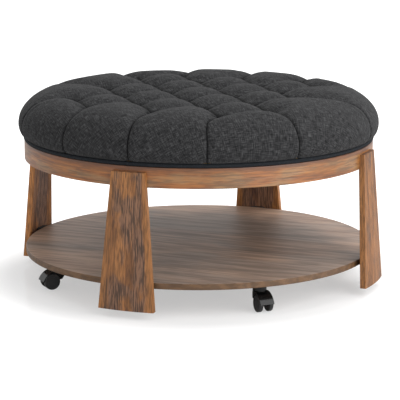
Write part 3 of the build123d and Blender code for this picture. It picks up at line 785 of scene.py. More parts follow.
@dataclass
class TuftedCushion:
    """The cushion: one cloth cover drawn down by tufts on a diamond grid and by pleats at its side.

    Spots are points of the cover laid flat, in metres from its middle.
    """

    base_level: float
    pocket_radius: float
    pocket_level: float
    foam_radius: float
    foam_level: float
    half_pitch: Pair = (0.085, 0.097)
    grid_reach: int = 3
    crown_rise: float = 0.1230
    crown_fall: float = 0.002
    crown_fall_radius: float = 0.435
    crest_radius: float = 0.330
    widest_radius: float = 0.4485
    widest_rise: float = 0.0395
    base_radius: float = 0.434
    base_rise: float = 0.0113
    top_steps: int = 60
    side_steps: int = 20
    crease_depth: float = 0.021
    crease_reach: float = 0.062
    pleat_reach: float = 0.066
    rim_pleat_share: float = 0.12
    rim_reach_share: float = 0.34
    rim_pleat_place: float = 0.55
    crease_power: float = 2.3
    pit_depth: float = 0.016
    pit_radius: float = 0.014
    fullness_place: float = 0.5
    groove_depth: float = 0.0034
    groove_width: float = 0.0026
    lip_rise: float = 0.0007
    lip_width: float = 0.0030
    lip_place: float = 1.6
    rim_ease: float = 0.008
    rim_shade_thinning: float = 1.2
    swell_grid: int = 168
    swell_frames: int = 20
    cover_grid: int = 304
    snap_share: float = 0.42
    start_fullness: float = 0.82
    hold_width: float = 0.006
    least_hold: float = 0.02
    move_cap: float = 0.022
    side_move_share: float = 0.30
    pleat_points: int = 9
    pleat_swing_share: float = 0.45
    pleat_degrees: tuple[int, ...] = (0, 37, 66, 90, 114, 143, 180, 217, 246, 270, 294, 323)
    pleat_steps: tuple[tuple[int, int], ...] = (
        (3, 0), (3, 2), (2, 3), (0, 3), (-2, 3), (-3, 2),
        (-3, 0), (-3, -2), (-2, -3), (0, -3), (2, -3), (3, -2),
    )
    creases: list[np.ndarray] = field(default_factory=list)
    pleats: list[np.ndarray] = field(default_factory=list)
    hem: np.ndarray | None = None

    def __post_init__(self) -> None:
        """Work out the side view, the tufts and the creases."""
        self.side_view = self.outline()
        steps = np.linalg.norm(np.diff(self.side_view, axis=0), axis=1)
        self.run = np.concatenate([[0.0], np.cumsum(steps)])
        self.crest_run = self.run[self.top_steps - 1]
        line = range(-self.grid_reach, self.grid_reach + 1)
        tufts = [(i, j) for i in line for j in line if (i + j) % 2]
        places = {step: self.unrolled_tuft(step) for step in tufts}
        for (i, j), start in places.items():
            for side in (1, -1):
                end = places.get((i + 1, j + side))
                if end is not None:
                    self.creases.append(np.array([start, end]))
        for step, azimuth in zip(self.pleat_steps, self.pleat_degrees):
            self.pleats.append(self.pleat_line(places[step], math.radians(azimuth)))
        self.tuft_spots = np.array(list(places.values()))

    def outline(self) -> np.ndarray:
        """Draw the side view, from the middle of the top to the welt.

        Returns:
            Rows of radius and height above the apron.
        """
        inner = np.linspace(0.0, self.crest_radius, self.top_steps)
        crown = self.crown_rise - self.crown_fall * (inner / self.crown_fall_radius) ** 2
        turn = np.linspace(0.0, math.pi / 2, self.top_steps)[1:]
        shoulder_r = self.crest_radius + (self.widest_radius - self.crest_radius) * np.sin(turn)
        shoulder_z = self.widest_rise + (crown[-1] - self.widest_rise) * np.cos(turn)
        turn = np.linspace(0.0, math.pi / 2, self.side_steps)[1:]
        side_r = self.widest_radius - (self.widest_radius - self.base_radius) * (1 - np.cos(turn))
        side_z = self.widest_rise - (self.widest_rise - self.base_rise) * np.sin(turn)
        return np.stack([np.concatenate([inner, shoulder_r, side_r]),
                         np.concatenate([crown, shoulder_z, side_z])], axis=1)

    def unrolled_tuft(self, step: tuple[int, int]) -> np.ndarray:
        """Find where a tuft lies.

        Args:
            step: Its place in the grid.

        Returns:
            Its spot.
        """
        spot = np.array([step[0] * self.half_pitch[0], step[1] * self.half_pitch[1]])
        radius = np.linalg.norm(spot)
        top = slice(self.top_steps)
        return spot * np.interp(radius, self.side_view[top, 0], self.run[top]) / radius

    def pleat_line(self, start: np.ndarray, azimuth: float) -> np.ndarray:
        """Draw the pleat from a tuft to the rim.

        Args:
            start: The tuft's spot.
            azimuth: Where the pleat meets the rim, in radians.

        Returns:
            The pleat's spots.
        """
        share = np.linspace(0.0, 1.0, self.pleat_points)
        first = math.atan2(start[1], start[0])
        swing = (azimuth - first + math.pi) % (2 * math.pi) - math.pi
        turn = first + swing * smooth_step(share / self.pleat_swing_share)
        reach = np.linalg.norm(start) * (1 - share) + self.run[-1] * share
        return np.stack([reach * np.cos(turn), reach * np.sin(turn)], axis=1)

    def distance(self, spots: np.ndarray, line: np.ndarray) -> np.ndarray:
        """Measure how far spots are from a line.

        Args:
            spots: The spots.
            line: The line's own spots.

        Returns:
            The distances.
        """
        nearest = np.full(len(spots), np.inf)
        for start, end in zip(line[:-1], line[1:]):
            gap = np.linalg.norm(spots - start - step_along(spots, start, end), axis=1)
            nearest = np.minimum(nearest, gap)
        return nearest

    def past_crest(self, spots: np.ndarray, place: float) -> np.ndarray:
        """Return 0 on the cover's top, easing to 1 at a share of the way down its side."""
        down = np.linalg.norm(spots, axis=1) - self.crest_run
        return smooth_step(down / (place * (self.run[-1] - self.crest_run)))

    def hollow(self, spots: np.ndarray) -> np.ndarray:
        """Work out how deep the cover lies below its pillows.

        Args:
            spots: The spots.

        Returns:
            The depths: 0 in the middle of a pillow, full on a crease.
        """
        down = self.past_crest(spots, self.rim_pleat_place)
        narrow = 1.0 + (self.rim_reach_share - 1.0) * down
        shallow = 1.0 + (self.rim_pleat_share - 1.0) * down
        left = np.ones(len(spots))
        for lines, reach in ((self.creases, self.crease_reach), (self.pleats, self.pleat_reach * narrow)):
            for line in lines:
                share = np.clip(self.distance(spots, line) / reach, 0.0, 1.0)
                left *= 1.0 - (1.0 - share) ** self.crease_power
        return (1.0 - left) * self.crease_depth * shallow

    def seam_gap(self, spots: np.ndarray) -> np.ndarray:
        """Return the distance to the nearest crease or pleat."""
        return np.min([self.distance(spots, line) for line in self.creases + self.pleats], axis=0)

    def tuft_gap(self, spots: np.ndarray) -> np.ndarray:
        """Return the distance to the nearest tuft."""
        return np.min(np.linalg.norm(spots[:, None, :] - self.tuft_spots[None], axis=2), axis=1)

    def base_frame(self, spots: np.ndarray) -> tuple[np.ndarray, np.ndarray]:
        """Wrap spots over the smooth cover.

        Args:
            spots: The spots.

        Returns:
            The points in space and the outward normals there.
        """
        reach = np.linalg.norm(spots, axis=1)
        radius = np.interp(reach, self.run, self.side_view[:, 0])
        height = np.interp(reach, self.run, self.side_view[:, 1]) + self.base_level
        slopes = np.gradient(self.side_view, self.run, axis=0)
        out = -np.interp(reach, self.run, slopes[:, 1])
        up = np.interp(reach, self.run, slopes[:, 0])
        size = np.hypot(out, up)
        ray = spots / np.maximum(reach, 1e-9)[:, None]
        points = np.column_stack([ray * radius[:, None], height])
        normals = np.column_stack([ray * (out / size)[:, None], up / size])
        return points, normals

    def shaped(self, spots: np.ndarray, fullness: float) -> np.ndarray:
        """Press the creases and pits into the cover.

        Args:
            spots: The spots.
            fullness: How far the pillows stand up from the level of their creases, 0 to 1.

        Returns:
            The points in space.
        """
        points, normals = self.base_frame(spots)
        top = 1.0 - self.past_crest(spots, self.fullness_place)
        flat = self.crease_depth * (1.0 - fullness) * top
        share = 1.0 + (fullness - 1.0) * top
        pit = self.pit_depth * np.exp(-((self.tuft_gap(spots) / self.pit_radius) ** 2))
        return points - normals * (self.hollow(spots) * share + flat + pit)[:, None]

    def cover_spots(self, steps: int) -> tuple[np.ndarray, np.ndarray]:
        """Lay an even grid over the flat, round cover.

        Args:
            steps: How many squares the grid has along each side.

        Returns:
            The spots and the point numbers of each face.
        """
        count = steps + 1
        line = np.linspace(-1.0, 1.0, count)
        a, b = np.meshgrid(line, line, indexing="ij")
        wide = np.abs(a) > np.abs(b)
        reach = np.where(wide, a, b)
        other = np.where(wide, b, a)
        with np.errstate(divide="ignore", invalid="ignore"):
            ratio = np.where(reach == 0, 0.0, other / reach)
        turn = np.where(wide, math.pi / 4 * ratio, math.pi / 2 - math.pi / 4 * ratio)
        spots = np.stack([reach * np.cos(turn), reach * np.sin(turn)], axis=-1) * self.run[-1]
        first = (np.arange(steps)[:, None] * count + np.arange(steps)).ravel()
        faces = np.stack([first, first + count, first + count + 1, first + 1], axis=1)
        return spots.reshape(-1, 2), faces

    def held_cloth(self, spots: np.ndarray, faces: np.ndarray, start: np.ndarray) -> bpy.types.Object:
        """Make a cloth that is held along its creases and at its rim.

        Args:
            spots: The cloth's spots.
            faces: The point numbers of each face.
            start: The cloth's points in space.

        Returns:
            The cloth.
        """
        mesh = bpy.data.meshes.new("swelling")
        mesh.from_pydata(start.tolist(), [], faces.tolist())
        piece = link(bpy.data.objects.new("swelling", mesh))
        rim = self.run[-1] - np.linalg.norm(spots, axis=1)
        hold = np.exp(-((np.minimum(self.seam_gap(spots), rim) / self.hold_width) ** 2))
        group = piece.vertex_groups.new(name="held")
        for index, weight in enumerate(hold):
            if weight > self.least_hold:
                group.add([index], min(1.0, float(weight)), "REPLACE")
        cloth = piece.modifiers.new("swell", "CLOTH")
        for name, value in CLOTH_SETTINGS.items():
            setattr(cloth.settings, name, value)
        cloth.settings.effector_weights.gravity = 0
        cloth.collision_settings.use_collision = False
        return piece

    def swell(self) -> np.ndarray:
        """Let the cover swell as cloth between its creases, tufts and rim.

        Returns:
            How far each point of the swelling grid moves.
        """
        spots, faces = self.cover_spots(self.swell_grid)
        start = self.shaped(spots, self.start_fullness)
        piece = self.held_cloth(spots, faces, start)
        scene = bpy.context.scene
        for frame_number in range(1, self.swell_frames + 1):
            scene.frame_set(frame_number)
        graph = bpy.context.evaluated_depsgraph_get()
        move = read_points(piece.evaluated_get(graph).to_mesh()) - start
        scene.frame_set(1)
        bpy.data.objects.remove(piece)
        length = np.linalg.norm(move, axis=1)
        log.info("cover swells by %.1f mm on average, %.1f mm at most",
                 1000 * length.mean(), 1000 * length.max())
        keep = np.minimum(1.0, self.move_cap / np.maximum(length, 1e-9))
        reach = np.linalg.norm(spots, axis=1)
        crest, end = self.crest_run, self.run[-1]
        ease = np.interp(reach, [crest, (crest + end) / 2], [1.0, self.side_move_share])
        return move * (keep * ease)[:, None]

    def carried(self, move: np.ndarray) -> np.ndarray:
        """Read a move of the swelling grid at the points of the cover's finer grid.

        Args:
            move: How far each point of the swelling grid moves.

        Returns:
            How far each point of the cover's grid moves.
        """
        side = self.swell_grid + 1
        grid = move.reshape(side, side, 3)
        place = np.linspace(0.0, self.swell_grid, self.cover_grid + 1)
        low = np.minimum(place.astype(int), self.swell_grid - 1)
        share = place - low
        rows = grid[low] * (1 - share)[:, None, None] + grid[low + 1] * share[:, None, None]
        both = rows[:, low] * (1 - share)[None, :, None] + rows[:, low + 1] * share[None, :, None]
        return both.reshape(-1, 3)

    def snapped(self, spots: np.ndarray) -> np.ndarray:
        """Move the spots beside a crease onto it.

        Args:
            spots: The cover grid's spots.

        Returns:
            The spots, those at the rim unmoved.
        """
        best = np.full(len(spots), self.snap_share * 2 * self.run[-1] / self.cover_grid)
        moved = spots.copy()
        for line in self.creases + self.pleats:
            for start, end in zip(line[:-1], line[1:]):
                foot = start + step_along(spots, start, end)
                gap = np.linalg.norm(spots - foot, axis=1)
                closer = gap < best
                best[closer] = gap[closer]
                moved[closer] = foot[closer]
        rim = np.linalg.norm(spots, axis=1) > self.run[-1] - 1e-6
        moved[rim] = spots[rim]
        return moved

    def split_faces(self, faces: np.ndarray, gap: np.ndarray) -> list:
        """Cut each square that a crease crosses from corner to corner along that crease.

        Args:
            faces: The point numbers of each square.
            gap: How far each point is from the nearest crease.

        Returns:
            The point numbers of each square and triangle.
        """
        on = (gap < 1e-6)[faces]
        cut_02 = on[:, 0] & on[:, 2] & ~on[:, 1] & ~on[:, 3]
        cut_13 = on[:, 1] & on[:, 3] & ~on[:, 0] & ~on[:, 2]
        whole = faces[~cut_02 & ~cut_13].tolist()
        first, second = faces[cut_02], faces[cut_13]
        pieces = [first[:, [0, 1, 2]], first[:, [0, 2, 3]], second[:, [0, 1, 3]], second[:, [1, 2, 3]]]
        return whole + np.concatenate(pieces).tolist()

    def seamed(self, spots: np.ndarray, gap: np.ndarray) -> np.ndarray:
        """Cut the seams' grooves, with a lip on either side.

        Args:
            spots: The spots.
            gap: How far each is from the nearest crease.

        Returns:
            How far each point moves outwards.
        """
        rim = smooth_step((self.run[-1] - np.linalg.norm(spots, axis=1)) / self.rim_ease)
        groove = self.groove_depth * np.exp(-gap / self.groove_width)
        lip = self.lip_rise * np.exp(-(((gap - self.lip_place * self.lip_width) / self.lip_width) ** 2))
        return (lip - groove) * rim

    def close_below(self, piece: bpy.types.Object) -> None:
        """Close the cover with the pocket that the seat board and the foam fill.

        Args:
            piece: The cover, open below.
        """
        work = bmesh.new()
        work.from_mesh(piece.data)
        edges = [e for e in work.edges if e.is_boundary]
        rings = ((self.pocket_radius, self.base_level + self.base_rise),
                 (self.pocket_radius, self.pocket_level),
                 (self.foam_radius, self.pocket_level),
                 (self.foam_radius, self.foam_level))
        for radius, level in rings:
            made = bmesh.ops.extrude_edge_only(work, edges=edges)["geom"]
            edges = [e for e in made if isinstance(e, bmesh.types.BMEdge)]
            corners = {v for e in edges for v in e.verts}
            edges = [e for e in edges if e.is_boundary]
            for corner in corners:
                ray = Vector((corner.co.x, corner.co.y)).normalized() * radius
                corner.co = (ray.x, ray.y, level)
        bmesh.ops.contextual_create(work, geom=edges)
        bmesh.ops.recalc_face_normals(work, faces=work.faces)
        work.to_mesh(piece.data)
        work.free()

    def build(self, material: bpy.types.Material) -> bpy.types.Object:
        """Build, swell, seam and close the cushion, and keep its hem for the stitches.

        Args:
            material: The cover's finish.

        Returns:
            The cushion.
        """
        steps = self.cover_grid
        grid, faces = self.cover_spots(steps)
        spots = self.snapped(grid)
        gap = self.seam_gap(spots)
        points = self.shaped(spots, self.start_fullness) + self.carried(self.swell())
        _, normals = self.base_frame(spots)
        points += normals * self.seamed(spots, gap)[:, None]
        reach = np.linalg.norm(grid, axis=1) / self.run[-1]
        ring = np.flatnonzero(np.abs(reach - 1 + 2 / steps) < 0.1 / steps)
        self.hem = points[ring[np.argsort(np.arctan2(grid[ring, 1], grid[ring, 0]))]]
        mesh = bpy.data.meshes.new("tufted_seat")
        mesh.from_pydata(points.tolist(), [], self.split_faces(faces, gap))
        # The seam distances drive the cloth's painted shade; stretched down the side, they keep that shade
        # thin along the rim pleats.
        down = self.past_crest(spots, self.rim_pleat_place)
        store(mesh, "seam_distance", gap * (1.0 + self.rim_shade_thinning * down))
        store(mesh, "tuft_distance", self.tuft_gap(spots))
        corners = np.zeros(len(mesh.loops), np.int32)
        mesh.loops.foreach_get("vertex_index", corners)
        layer = mesh.uv_layers.new(name="cloth")
        layer.data.foreach_set("uv", spots[corners].astype(np.float32).ravel())
        piece = link(bpy.data.objects.new("tufted_seat", mesh))
        self.close_below(piece)
        piece.data.shade_smooth()
        finish_piece(piece, "root", material, ("tufted_cushion",))
        return piece


@dataclass
class StitchRow:
    """The row of stitches that holds the cover's hem, just above the welt."""

    path: np.ndarray
    pitch: float = 0.0068
    stitch_length: float = 0.0044
    thread_thickness: float = 0.0013
    segments: int = 8
    rings: int = 6

    def recipe(self) -> Recipe:
        """Write the tree that repeats one stitch along a line.

        Returns:
            The tree.
        """
        recipe = Recipe("stitch_row", ("Pitch", "Stitch length", "Thread thickness"))
        curve = recipe.node("GeometryNodeMeshToCurve", {"Mesh": recipe.value("Geometry")})
        even = recipe.node("GeometryNodeResampleCurve",
                           {"Curve": curve, "Length": recipe.value("Pitch")}, mode="LENGTH")
        ball = {"Segments": self.segments, "Rings": self.rings, "Radius": 0.5}
        stitch = recipe.node("GeometryNodeMeshUVSphere", ball)
        thickness = recipe.value("Thread thickness")
        size = recipe.node("ShaderNodeCombineXYZ",
                           {"X": recipe.value("Stitch length"), "Y": thickness, "Z": thickness})
        tangent = recipe.node("GeometryNodeInputTangent")
        turn = recipe.node("FunctionNodeAlignRotationToVector", {"Vector": tangent}, axis="X")
        recipe.close(recipe.node("GeometryNodeInstanceOnPoints",
                                 {"Points": even, "Instance": stitch, "Rotation": turn, "Scale": size}))
        return recipe

    def build(self, material: bpy.types.Material) -> bpy.types.Object:
        """Run the tree along the path.

        Args:
            material: The thread's finish.

        Returns:
            The row.
        """
        count = len(self.path)
        carrier = bpy.data.meshes.new("hem_line")
        carrier.from_pydata(self.path.tolist(), [(i, (i + 1) % count) for i in range(count)], [])
        values = {"Pitch": self.pitch, "Stitch length": self.stitch_length,
                  "Thread thickness": self.thread_thickness, "Finish": material}
        piece = self.recipe().make("hem_stitches", carrier, values)
        return finish_piece(piece, "root", None)


@dataclass
class SeatUnderlay:
    """The welt around the seat, the foam in it and the cloth under it."""

    welt_radius: float
    welt_thickness: float
    welt_level: float
    foam_low: Vector
    foam_high: Vector
    cover_low: Vector
    cover_high: Vector
    ring_steps: int = 540
    cord_steps: int = 18
    pucker: float = 0.0007
    pucker_length: float = 0.006
    pucker_detail: float = 2.0
    pucker_middle: float = 0.75
    foam_edge: float = 0.006
    foam_edge_round: float = 0.3
    foam_inner_share: float = 0.6
    foam_count: int = 128
    cover_count: int = 96
    cover_shares: tuple[float, ...] = (0.25, 0.5, 0.75, 1.0)

    def welt_recipe(self) -> Recipe:
        """Write the tree that sweeps a cord round a ring and puckers it.

        Returns:
            The tree.
        """
        sizes = ("Ring radius", "Cord radius", "Level", "Pucker", "Pucker length")
        recipe = Recipe("welt_sweep", sizes)
        path = recipe.node("GeometryNodeCurvePrimitiveCircle",
                           {"Resolution": self.ring_steps, "Radius": recipe.value("Ring radius")})
        cord = recipe.node("GeometryNodeCurvePrimitiveCircle",
                           {"Resolution": self.cord_steps, "Radius": recipe.value("Cord radius")})
        swept = recipe.node("GeometryNodeCurveToMesh", {"Curve": path, "Profile Curve": cord})
        lift = recipe.node("ShaderNodeCombineXYZ", {"Z": recipe.value("Level")})
        placed = recipe.node("GeometryNodeTransform", {"Geometry": swept, "Translation": lift})
        scale = recipe.node("ShaderNodeMath", {0: 1.0, 1: recipe.value("Pucker length")},
                            operation="DIVIDE")
        noise = recipe.node("ShaderNodeTexNoise", {"Scale": scale, "Detail": self.pucker_detail},
                            noise_dimensions="3D")
        centred = recipe.node("ShaderNodeMath", {0: noise, 1: self.pucker_middle}, operation="SUBTRACT")
        amount = recipe.node("ShaderNodeMath", {0: centred, 1: recipe.value("Pucker")},
                             operation="MULTIPLY")
        normal = recipe.node("GeometryNodeInputNormal")
        offset = recipe.node("ShaderNodeVectorMath", {0: normal, "Scale": amount}, operation="SCALE")
        recipe.close(recipe.node("GeometryNodeSetPosition", {"Geometry": placed, "Offset": offset}))
        return recipe

    def build_welt(self, material: bpy.types.Material) -> bpy.types.Object:
        """Sweep the piping round the seat.

        Args:
            material: The piping's finish.

        Returns:
            The piping.
        """
        values = {"Ring radius": self.welt_radius, "Cord radius": self.welt_thickness / 2,
                  "Level": self.welt_level, "Pucker": self.pucker,
                  "Pucker length": self.pucker_length, "Finish": material}
        piece = self.welt_recipe().make("welt_piping", bpy.data.meshes.new("welt_carrier"), values)
        return finish_piece(piece, "root", None, ("cushion_welt",))

    def build_foam(self, material: bpy.types.Material) -> bpy.types.Object:
        """Cut the foam block with its rounded edge.

        Args:
            material: The foam's finish.

        Returns:
            The block.
        """
        radius, low, high = self.foam_high.x, self.foam_low.z, self.foam_high.z
        edge, inset = self.foam_edge, self.foam_edge * self.foam_edge_round
        corners = ((radius - edge, low), (radius, low + edge), (radius, high - edge),
                   (radius - inset, high - inset), (radius - edge, high),
                   (radius * self.foam_inner_share, high))
        rings = [circle(reach, level, self.foam_count) for reach, level in corners]
        piece = mesh_from("foam_block", *loft(rings))
        finish_piece(piece, "root", material, ("foam_core",))
        return piece

    def build_dust_cover(self, material: bpy.types.Material) -> bpy.types.Object:
        """Stretch the dust cover under the seat board.

        Args:
            material: The cloth's finish.

        Returns:
            The cloth.
        """
        radius = self.cover_high.x
        low, high = self.cover_low.z, self.cover_high.z
        rings = [circle(radius * share, low, self.cover_count) for share in self.cover_shares]
        rings += [circle(radius * share, high, self.cover_count) for share in self.cover_shares[::-1]]
        piece = mesh_from("dust_cloth", *loft(rings))
        layer = piece.data.uv_layers.new(name="cloth")
        for corner in piece.data.loops:
            spot = piece.data.vertices[corner.vertex_index].co
            layer.data[corner.index].uv = (spot.x, spot.y)
        finish_piece(piece, "root", material, ("dust_cover",))
        return piece


@dataclass(frozen=True)
class Lamp:
    """A square lamp: its name, its place, its side in metres and its power in watts."""

    name: str
    place: Point
    size: float
    power: float


@dataclass(frozen=True)
class Studio:
    """The floor, the light and the camera."""

    camera_place: Point = (1.6678, -4.2292, 1.1545)
    camera_pitch_degrees: float = 78.02
    camera_turn_degrees: float = 21.48
    focal_length_mm: float = 165.77
    sensor_mm: float = 36.0
    clip_end: float = 200.0
    fill_strength: float = 0.60
    lamps: tuple[Lamp, ...] = (
        Lamp("key_lamp", (4.3, -1.3, 2.1), 5.6, 262),
        Lamp("top_lamp", (0.9, 2.0, 4.2), 2.4, 90),
        Lamp("front_lamp", (-0.6, -4.6, 2.2), 2.4, 14),
    )
    light_target: Point = (0.0, 0.0, 0.3)
    floor_reach: float = 30.0
    floor_white: float = 0.8
    floor_shade: float = 0.50
    floor_gloss: float = 0.06
    gloss_roughness: float = 0.12
    glow_radius: Pair = (0.46, 0.64)
    floor_glow: Pair = (0.465, 0.90)

    def build(self) -> None:
        """Set the camera, the world, the lamps and the floor."""
        self.place_camera()
        self.light_world()
        for lamp in self.lamps:
            self.add_lamp(lamp)
        self.add_floor()
        bpy.context.scene.view_settings.view_transform = "Standard"

    def place_camera(self) -> None:
        """Create the camera at the photograph's viewing angle."""
        data = bpy.data.cameras.new("camera")
        data.sensor_width = self.sensor_mm
        data.lens = self.focal_length_mm
        data.clip_end = self.clip_end
        camera = link(bpy.data.objects.new("camera", data))
        camera.location = self.camera_place
        camera.rotation_euler = (math.radians(self.camera_pitch_degrees), 0.0,
                                 math.radians(self.camera_turn_degrees))
        bpy.context.scene.camera = camera

    def light_world(self) -> None:
        """Show a white world to the camera and light the object with a soft one."""
        world = bpy.data.worlds.new("studio")
        bpy.context.scene.world = world
        world.use_nodes = True
        tree = world.node_tree
        background = tree.nodes["Background"]
        path = add_node(tree, "ShaderNodeLightPath").outputs
        rays = {0: path["Is Glossy Ray"], 1: path["Is Transmission Ray"]}
        mirrored = add_node(tree, "ShaderNodeMath", rays, operation="ADD").outputs[0]
        seen = add_node(tree, "ShaderNodeMath", {0: path["Is Camera Ray"], 1: mirrored},
                        operation="ADD", use_clamp=True)
        strength = add_node(tree, "ShaderNodeMapRange", {
            "Value": seen.outputs[0], "To Min": self.fill_strength, "To Max": 1.0})
        feed(tree, (1.0, 1.0, 1.0, 1.0), background.inputs["Color"])
        feed(tree, strength.outputs[0], background.inputs["Strength"])

    def add_lamp(self, lamp: Lamp) -> None:
        """Add a lamp that faces the middle of the table.

        Args:
            lamp: The lamp.
        """
        data = bpy.data.lights.new(lamp.name, "AREA")
        data.size = lamp.size
        data.energy = lamp.power
        made = link(bpy.data.objects.new(lamp.name, data))
        made.location = lamp.place
        view = Vector(self.light_target) - Vector(lamp.place)
        made.rotation_euler = view.to_track_quat("-Z", "Y").to_euler()

    def floor_finish(self) -> bpy.types.Material:
        """Make the floor white to the camera around the table, and keep the table's shadow.

        Returns:
            The floor's material.
        """
        shader = Shader("floor_white")
        shader.tree.nodes.remove(shader.surface)
        white, shade, gloss = ((share, share, share, 1.0) for share in
                               (self.floor_white, self.floor_shade, self.floor_gloss))
        plain = shader.node("BsdfDiffuse", {"Color": white}).outputs[0]
        shaded = shader.node("BsdfDiffuse", {"Color": shade}).outputs[0]
        radius = shader.node("VectorMath", {0: shader.here()}, operation="LENGTH").outputs["Value"]
        # Painted light: the glow rises from the table outwards, so near the table the real shadow shows and
        # further out the floor is whitened over the shadow's fading edge.
        rise = shader.between(radius, *self.glow_radius, *self.floor_glow)
        glow = shader.node("Emission", {"Strength": rise}).outputs[0]
        wax = {"Color": gloss, "Roughness": self.gloss_roughness}
        waxed = shader.node("AddShader", {0: shaded, 1: shader.node("BsdfGlossy", wax).outputs[0]})
        both = shader.node("AddShader", {0: waxed.outputs[0], 1: glow}).outputs[0]
        seen = shader.node("LightPath").outputs["Is Camera Ray"]
        choice = shader.node("MixShader", {0: seen, 1: plain, 2: both}).outputs[0]
        feed(shader.tree, choice, shader.tree.nodes["Material Output"].inputs[0])
        return shader.material

    def add_floor(self) -> None:
        """Lay the floor."""
        reach = self.floor_reach
        corners = [(-reach, -reach, 0), (reach, -reach, 0), (reach, reach, 0), (-reach, reach, 0)]
        mesh = bpy.data.meshes.new("floor")
        mesh.from_pydata(corners, [], [(0, 1, 2, 3)])
        floor = link(bpy.data.objects.new("floor", mesh))
        floor.data.materials.append(self.floor_finish())


def wood_shades(*rows: tuple[int, int, int], tone: float = 1.0) -> dict[str, Colour]:
    """Name a wood's five colours.

    Args:
        rows: The dark, warm, light, patch and edge colours, 0 to 255.
        tone: What all of them are multiplied by.

    Returns:
        Name to linear colour.
    """
    names = ("dark", "warm", "light", "patch", "edge")
    return {name: colour(*(round(part * tone) for part in row)) for name, row in zip(names, rows)}


@dataclass(frozen=True)
class LegLook:
    """How one leg differs from the others.

    It has its turn about the table; its tone, which is painted light: a leg that these lamps light less is
    coloured lighter; and what is added to the patches' range.
    """

    side: str
    turn_degrees: float
    tone: float
    rubbed: float


@dataclass(frozen=True)
class Woodwork:
    """The finishes of the legs, the apron, the shelf and the hidden frame."""

    # Painted light: a tone above 1 colours a leg lighter, where these lamps light it less.
    legs: tuple[LegLook, ...] = (
        LegLook("right", 0.0, 1.00, 0.09),
        LegLook("rear", 90.0, 1.18, 0.02),
        LegLook("left", 180.0, 1.24, 0.03),
        LegLook("front", 270.0, 1.02, 0.0),
    )
    leg_patch_range: Pair = (0.41, 0.53)
    degrees_per_seed: float = 60.0
    shelf: BrushedWood = EdgedBoardWood(
        "shelf_wood", Grain.ALONG_X, streak=(0.34, 0.024), fibre=(0.13, 0.0115),
        fibre_range=(0.42, 0.58), pore=(0.06, 0.008), blotch=(0.40, 0.16), fibre_shade=0.26,
        patch_fibre_shade=0.32, pore_share=0.35, relief=0.0002, roughness=0.5,
        **wood_shades((120, 94, 80), (161, 133, 114), (178, 146, 123), (146, 127, 114), (84, 54, 14)))
    pine: BrushedWood = BrushedWood(
        "frame_wood", Grain.ALONG_X, streak=(0.3, 0.008), fibre_shade=0.12, relief=0.0001,
        **wood_shades((160, 118, 74), (205, 165, 115), (222, 188, 140), (190, 150, 105), (205, 165, 115)))
    board: LayeredBoard = LayeredBoard("seat_plywood", face=colour(206, 176, 132), vein=colour(170, 132, 88))

    def leg(self, look: LegLook) -> WornLegWood:
        """Mix the finish of one leg.

        Args:
            look: How this leg differs.

        Returns:
            The finish.
        """
        low, high = self.leg_patch_range
        shades = wood_shades((64, 36, 22), (130, 84, 44), (154, 103, 57), (104, 76, 60), (144, 95, 50),
                             tone=look.tone)
        return WornLegWood(
            f"leg_wood_{look.side}", Grain.UPRIGHT, patch_range=(low + look.rubbed, high + look.rubbed),
            patch_share=0.80, blotch=(0.12, 0.060), streak=(0.30, 0.022), fibre=(0.062, 0.0028),
            fibre_range=(0.43, 0.57), pore=(0.050, 0.0034), pore_share=0.65, fibre_shade=0.36,
            patch_fibre_shade=0.66, relief=0.0011, turn_degrees=look.turn_degrees,
            seed=look.turn_degrees / self.degrees_per_seed, **shades)

    def apron(self) -> RimShadedWood:
        """Mix the apron's finish, with painted shade along its upper rim, which lies where the frame has it.

        Returns:
            The finish.
        """
        # The last colour, a dark red-brown, is painted shade along the apron's upper rim under the cushion.
        shades = wood_shades((100, 54, 17), (140, 82, 27), (158, 102, 46), (132, 97, 60), (84, 44, 18))
        return RimShadedWood(
            "apron_wood", Grain.AROUND, rim_height=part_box("apron_rear_right")[1].z,
            streak=(0.20, 0.014), fibre=(0.060, 0.0042), fibre_range=(0.43, 0.57), blotch=(0.14, 0.036),
            fibre_shade=0.27, patch_fibre_shade=0.36, pore=(0.05, 0.0040), pore_share=0.45, gloss=0.75,
            relief=0.0004, roughness=0.38, **shades)

    def build(self, frame: dict) -> None:
        """Dress the wooden nodes.

        Args:
            frame: The loaded frame.
        """
        for look in self.legs:
            dress(frame, (f"leg_{look.side}",), self.leg(look).make())
        dress(frame, ("apron_",), self.apron().make())
        dress(frame, ("shelf",), self.shelf.make())
        dress(frame, ("splice_", "cross_"), self.pine.make())
        dress(frame, ("seat_board",), self.board.make())


@dataclass(frozen=True)
class Hardware:
    """The finishes of the casters, brackets and fasteners, each with the names of its nodes."""

    finishes: tuple[tuple[Moulded, tuple[str, ...]], ...] = (
        (Moulded("black_nylon", colour(13, 13, 14), colour(19, 19, 20), roughness=0.20, gloss=0.30),
         ("caster_hood_",)),
        (Moulded("wheel_nylon", colour(30, 30, 31), colour(42, 42, 43), roughness=0.38),
         ("caster_wheel_",)),
        (Moulded("zinc_steel", colour(190, 190, 186), colour(160, 160, 156), 0.3, metallic=1.0),
         ("caster_pin_", "caster_axle_", "leg_bolts", "leg_bolt_washers", "seat_screws", "leg_inserts")),
        (Moulded("black_steel", colour(26, 26, 27), colour(44, 44, 44), roughness=0.45),
         ("caster_plate_", "caster_screws", "shelf_bracket_", "bracket_screws")),
        (Moulded("black_rubber", colour(28, 28, 28), colour(40, 40, 40), roughness=0.75),
         ("shelf_spacer_",)),
    )

    def build(self, frame: dict) -> None:
        """Dress the nodes."""
        for finish, wanted in self.finishes:
            dress(frame, wanted, finish.make())


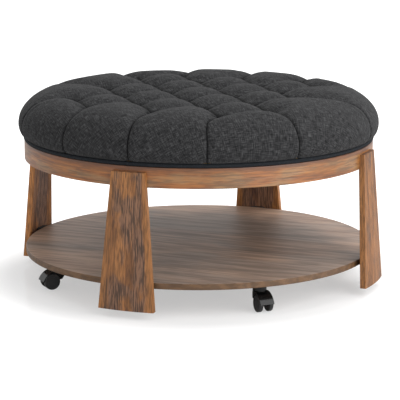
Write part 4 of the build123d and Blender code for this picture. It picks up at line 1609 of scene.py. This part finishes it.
@dataclass(frozen=True)
class Seat:
    """The seat: its finishes, and how much room its pocket leaves round the board and the foam."""

    pocket_gap: float = 0.0003
    # The linen's last, near-black colour is painted shade in its creases, pleats and tufts.
    linen: WovenCloth = WovenCloth(
        "charcoal_linen", base=colour(44, 44, 45), light=colour(74, 74, 75), dark=colour(22, 22, 23),
        seam=colour(10, 10, 11), seam_map="seam_distance", tuft_map="tuft_distance")
    piping: Moulded = Moulded(
        "welt_cloth", colour(24, 27, 31), colour(54, 57, 61), roughness=0.85, relief=0.0007, gloss=0.2,
        spot=(0.0045, 0.0045, 0.0030), skin=0.0024)
    foam: OpenFoam = OpenFoam("foam", colour(226, 214, 160), colour(170, 156, 104))
    cambric: WovenCloth = WovenCloth(
        "cambric", base=colour(30, 30, 30), light=colour(44, 44, 44), dark=colour(18, 18, 18),
        seam=colour(10, 10, 10), thread_pitch=0.001)
    thread: Moulded = Moulded(
        "hem_thread", colour(52, 52, 54), colour(66, 66, 68), roughness=0.8, gloss=0.2)

    def cushion(self) -> TuftedCushion:
        """Size the cushion from the frame.

        Returns:
            The cushion, not yet built.
        """
        apron_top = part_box("apron_rear_right")[1].z
        board_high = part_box("seat_board")[1]
        foam_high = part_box("foam_core")[1]
        return TuftedCushion(
            base_level=apron_top, pocket_radius=board_high.x + self.pocket_gap,
            pocket_level=board_high.z, foam_radius=foam_high.x + self.pocket_gap,
            foam_level=foam_high.z)

    def underlay(self) -> SeatUnderlay:
        """Size the welt, the foam and the dust cover from the frame.

        Returns:
            The underlay, not yet built.
        """
        foam_low, foam_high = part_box("foam_core")
        welt_low, welt_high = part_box("cushion_welt")
        thickness = welt_high.z - welt_low.z
        cover_low, cover_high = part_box("dust_cover")
        return SeatUnderlay(
            welt_radius=welt_high.x - thickness / 2, welt_thickness=thickness,
            welt_level=(welt_low.z + welt_high.z) / 2, foam_low=foam_low, foam_high=foam_high,
            cover_low=cover_low, cover_high=cover_high)

    def build(self) -> None:
        """Build the cushion, its stitches, its welt, its foam and the dust cover."""
        cushion = self.cushion()
        cushion.build(self.linen.make())
        StitchRow(cushion.hem).build(self.thread.make())
        underlay = self.underlay()
        underlay.build_welt(self.piping.make())
        underlay.build_foam(self.foam.make())
        underlay.build_dust_cover(self.cambric.make())


def main() -> None:
    """Build the scene."""
    logging.basicConfig(level=logging.INFO, format="%(message)s")
    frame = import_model()
    Studio().build()
    Seat().build()
    Woodwork().build(frame)
    Hardware().build(frame)


if __name__ == "__main__":
    main()
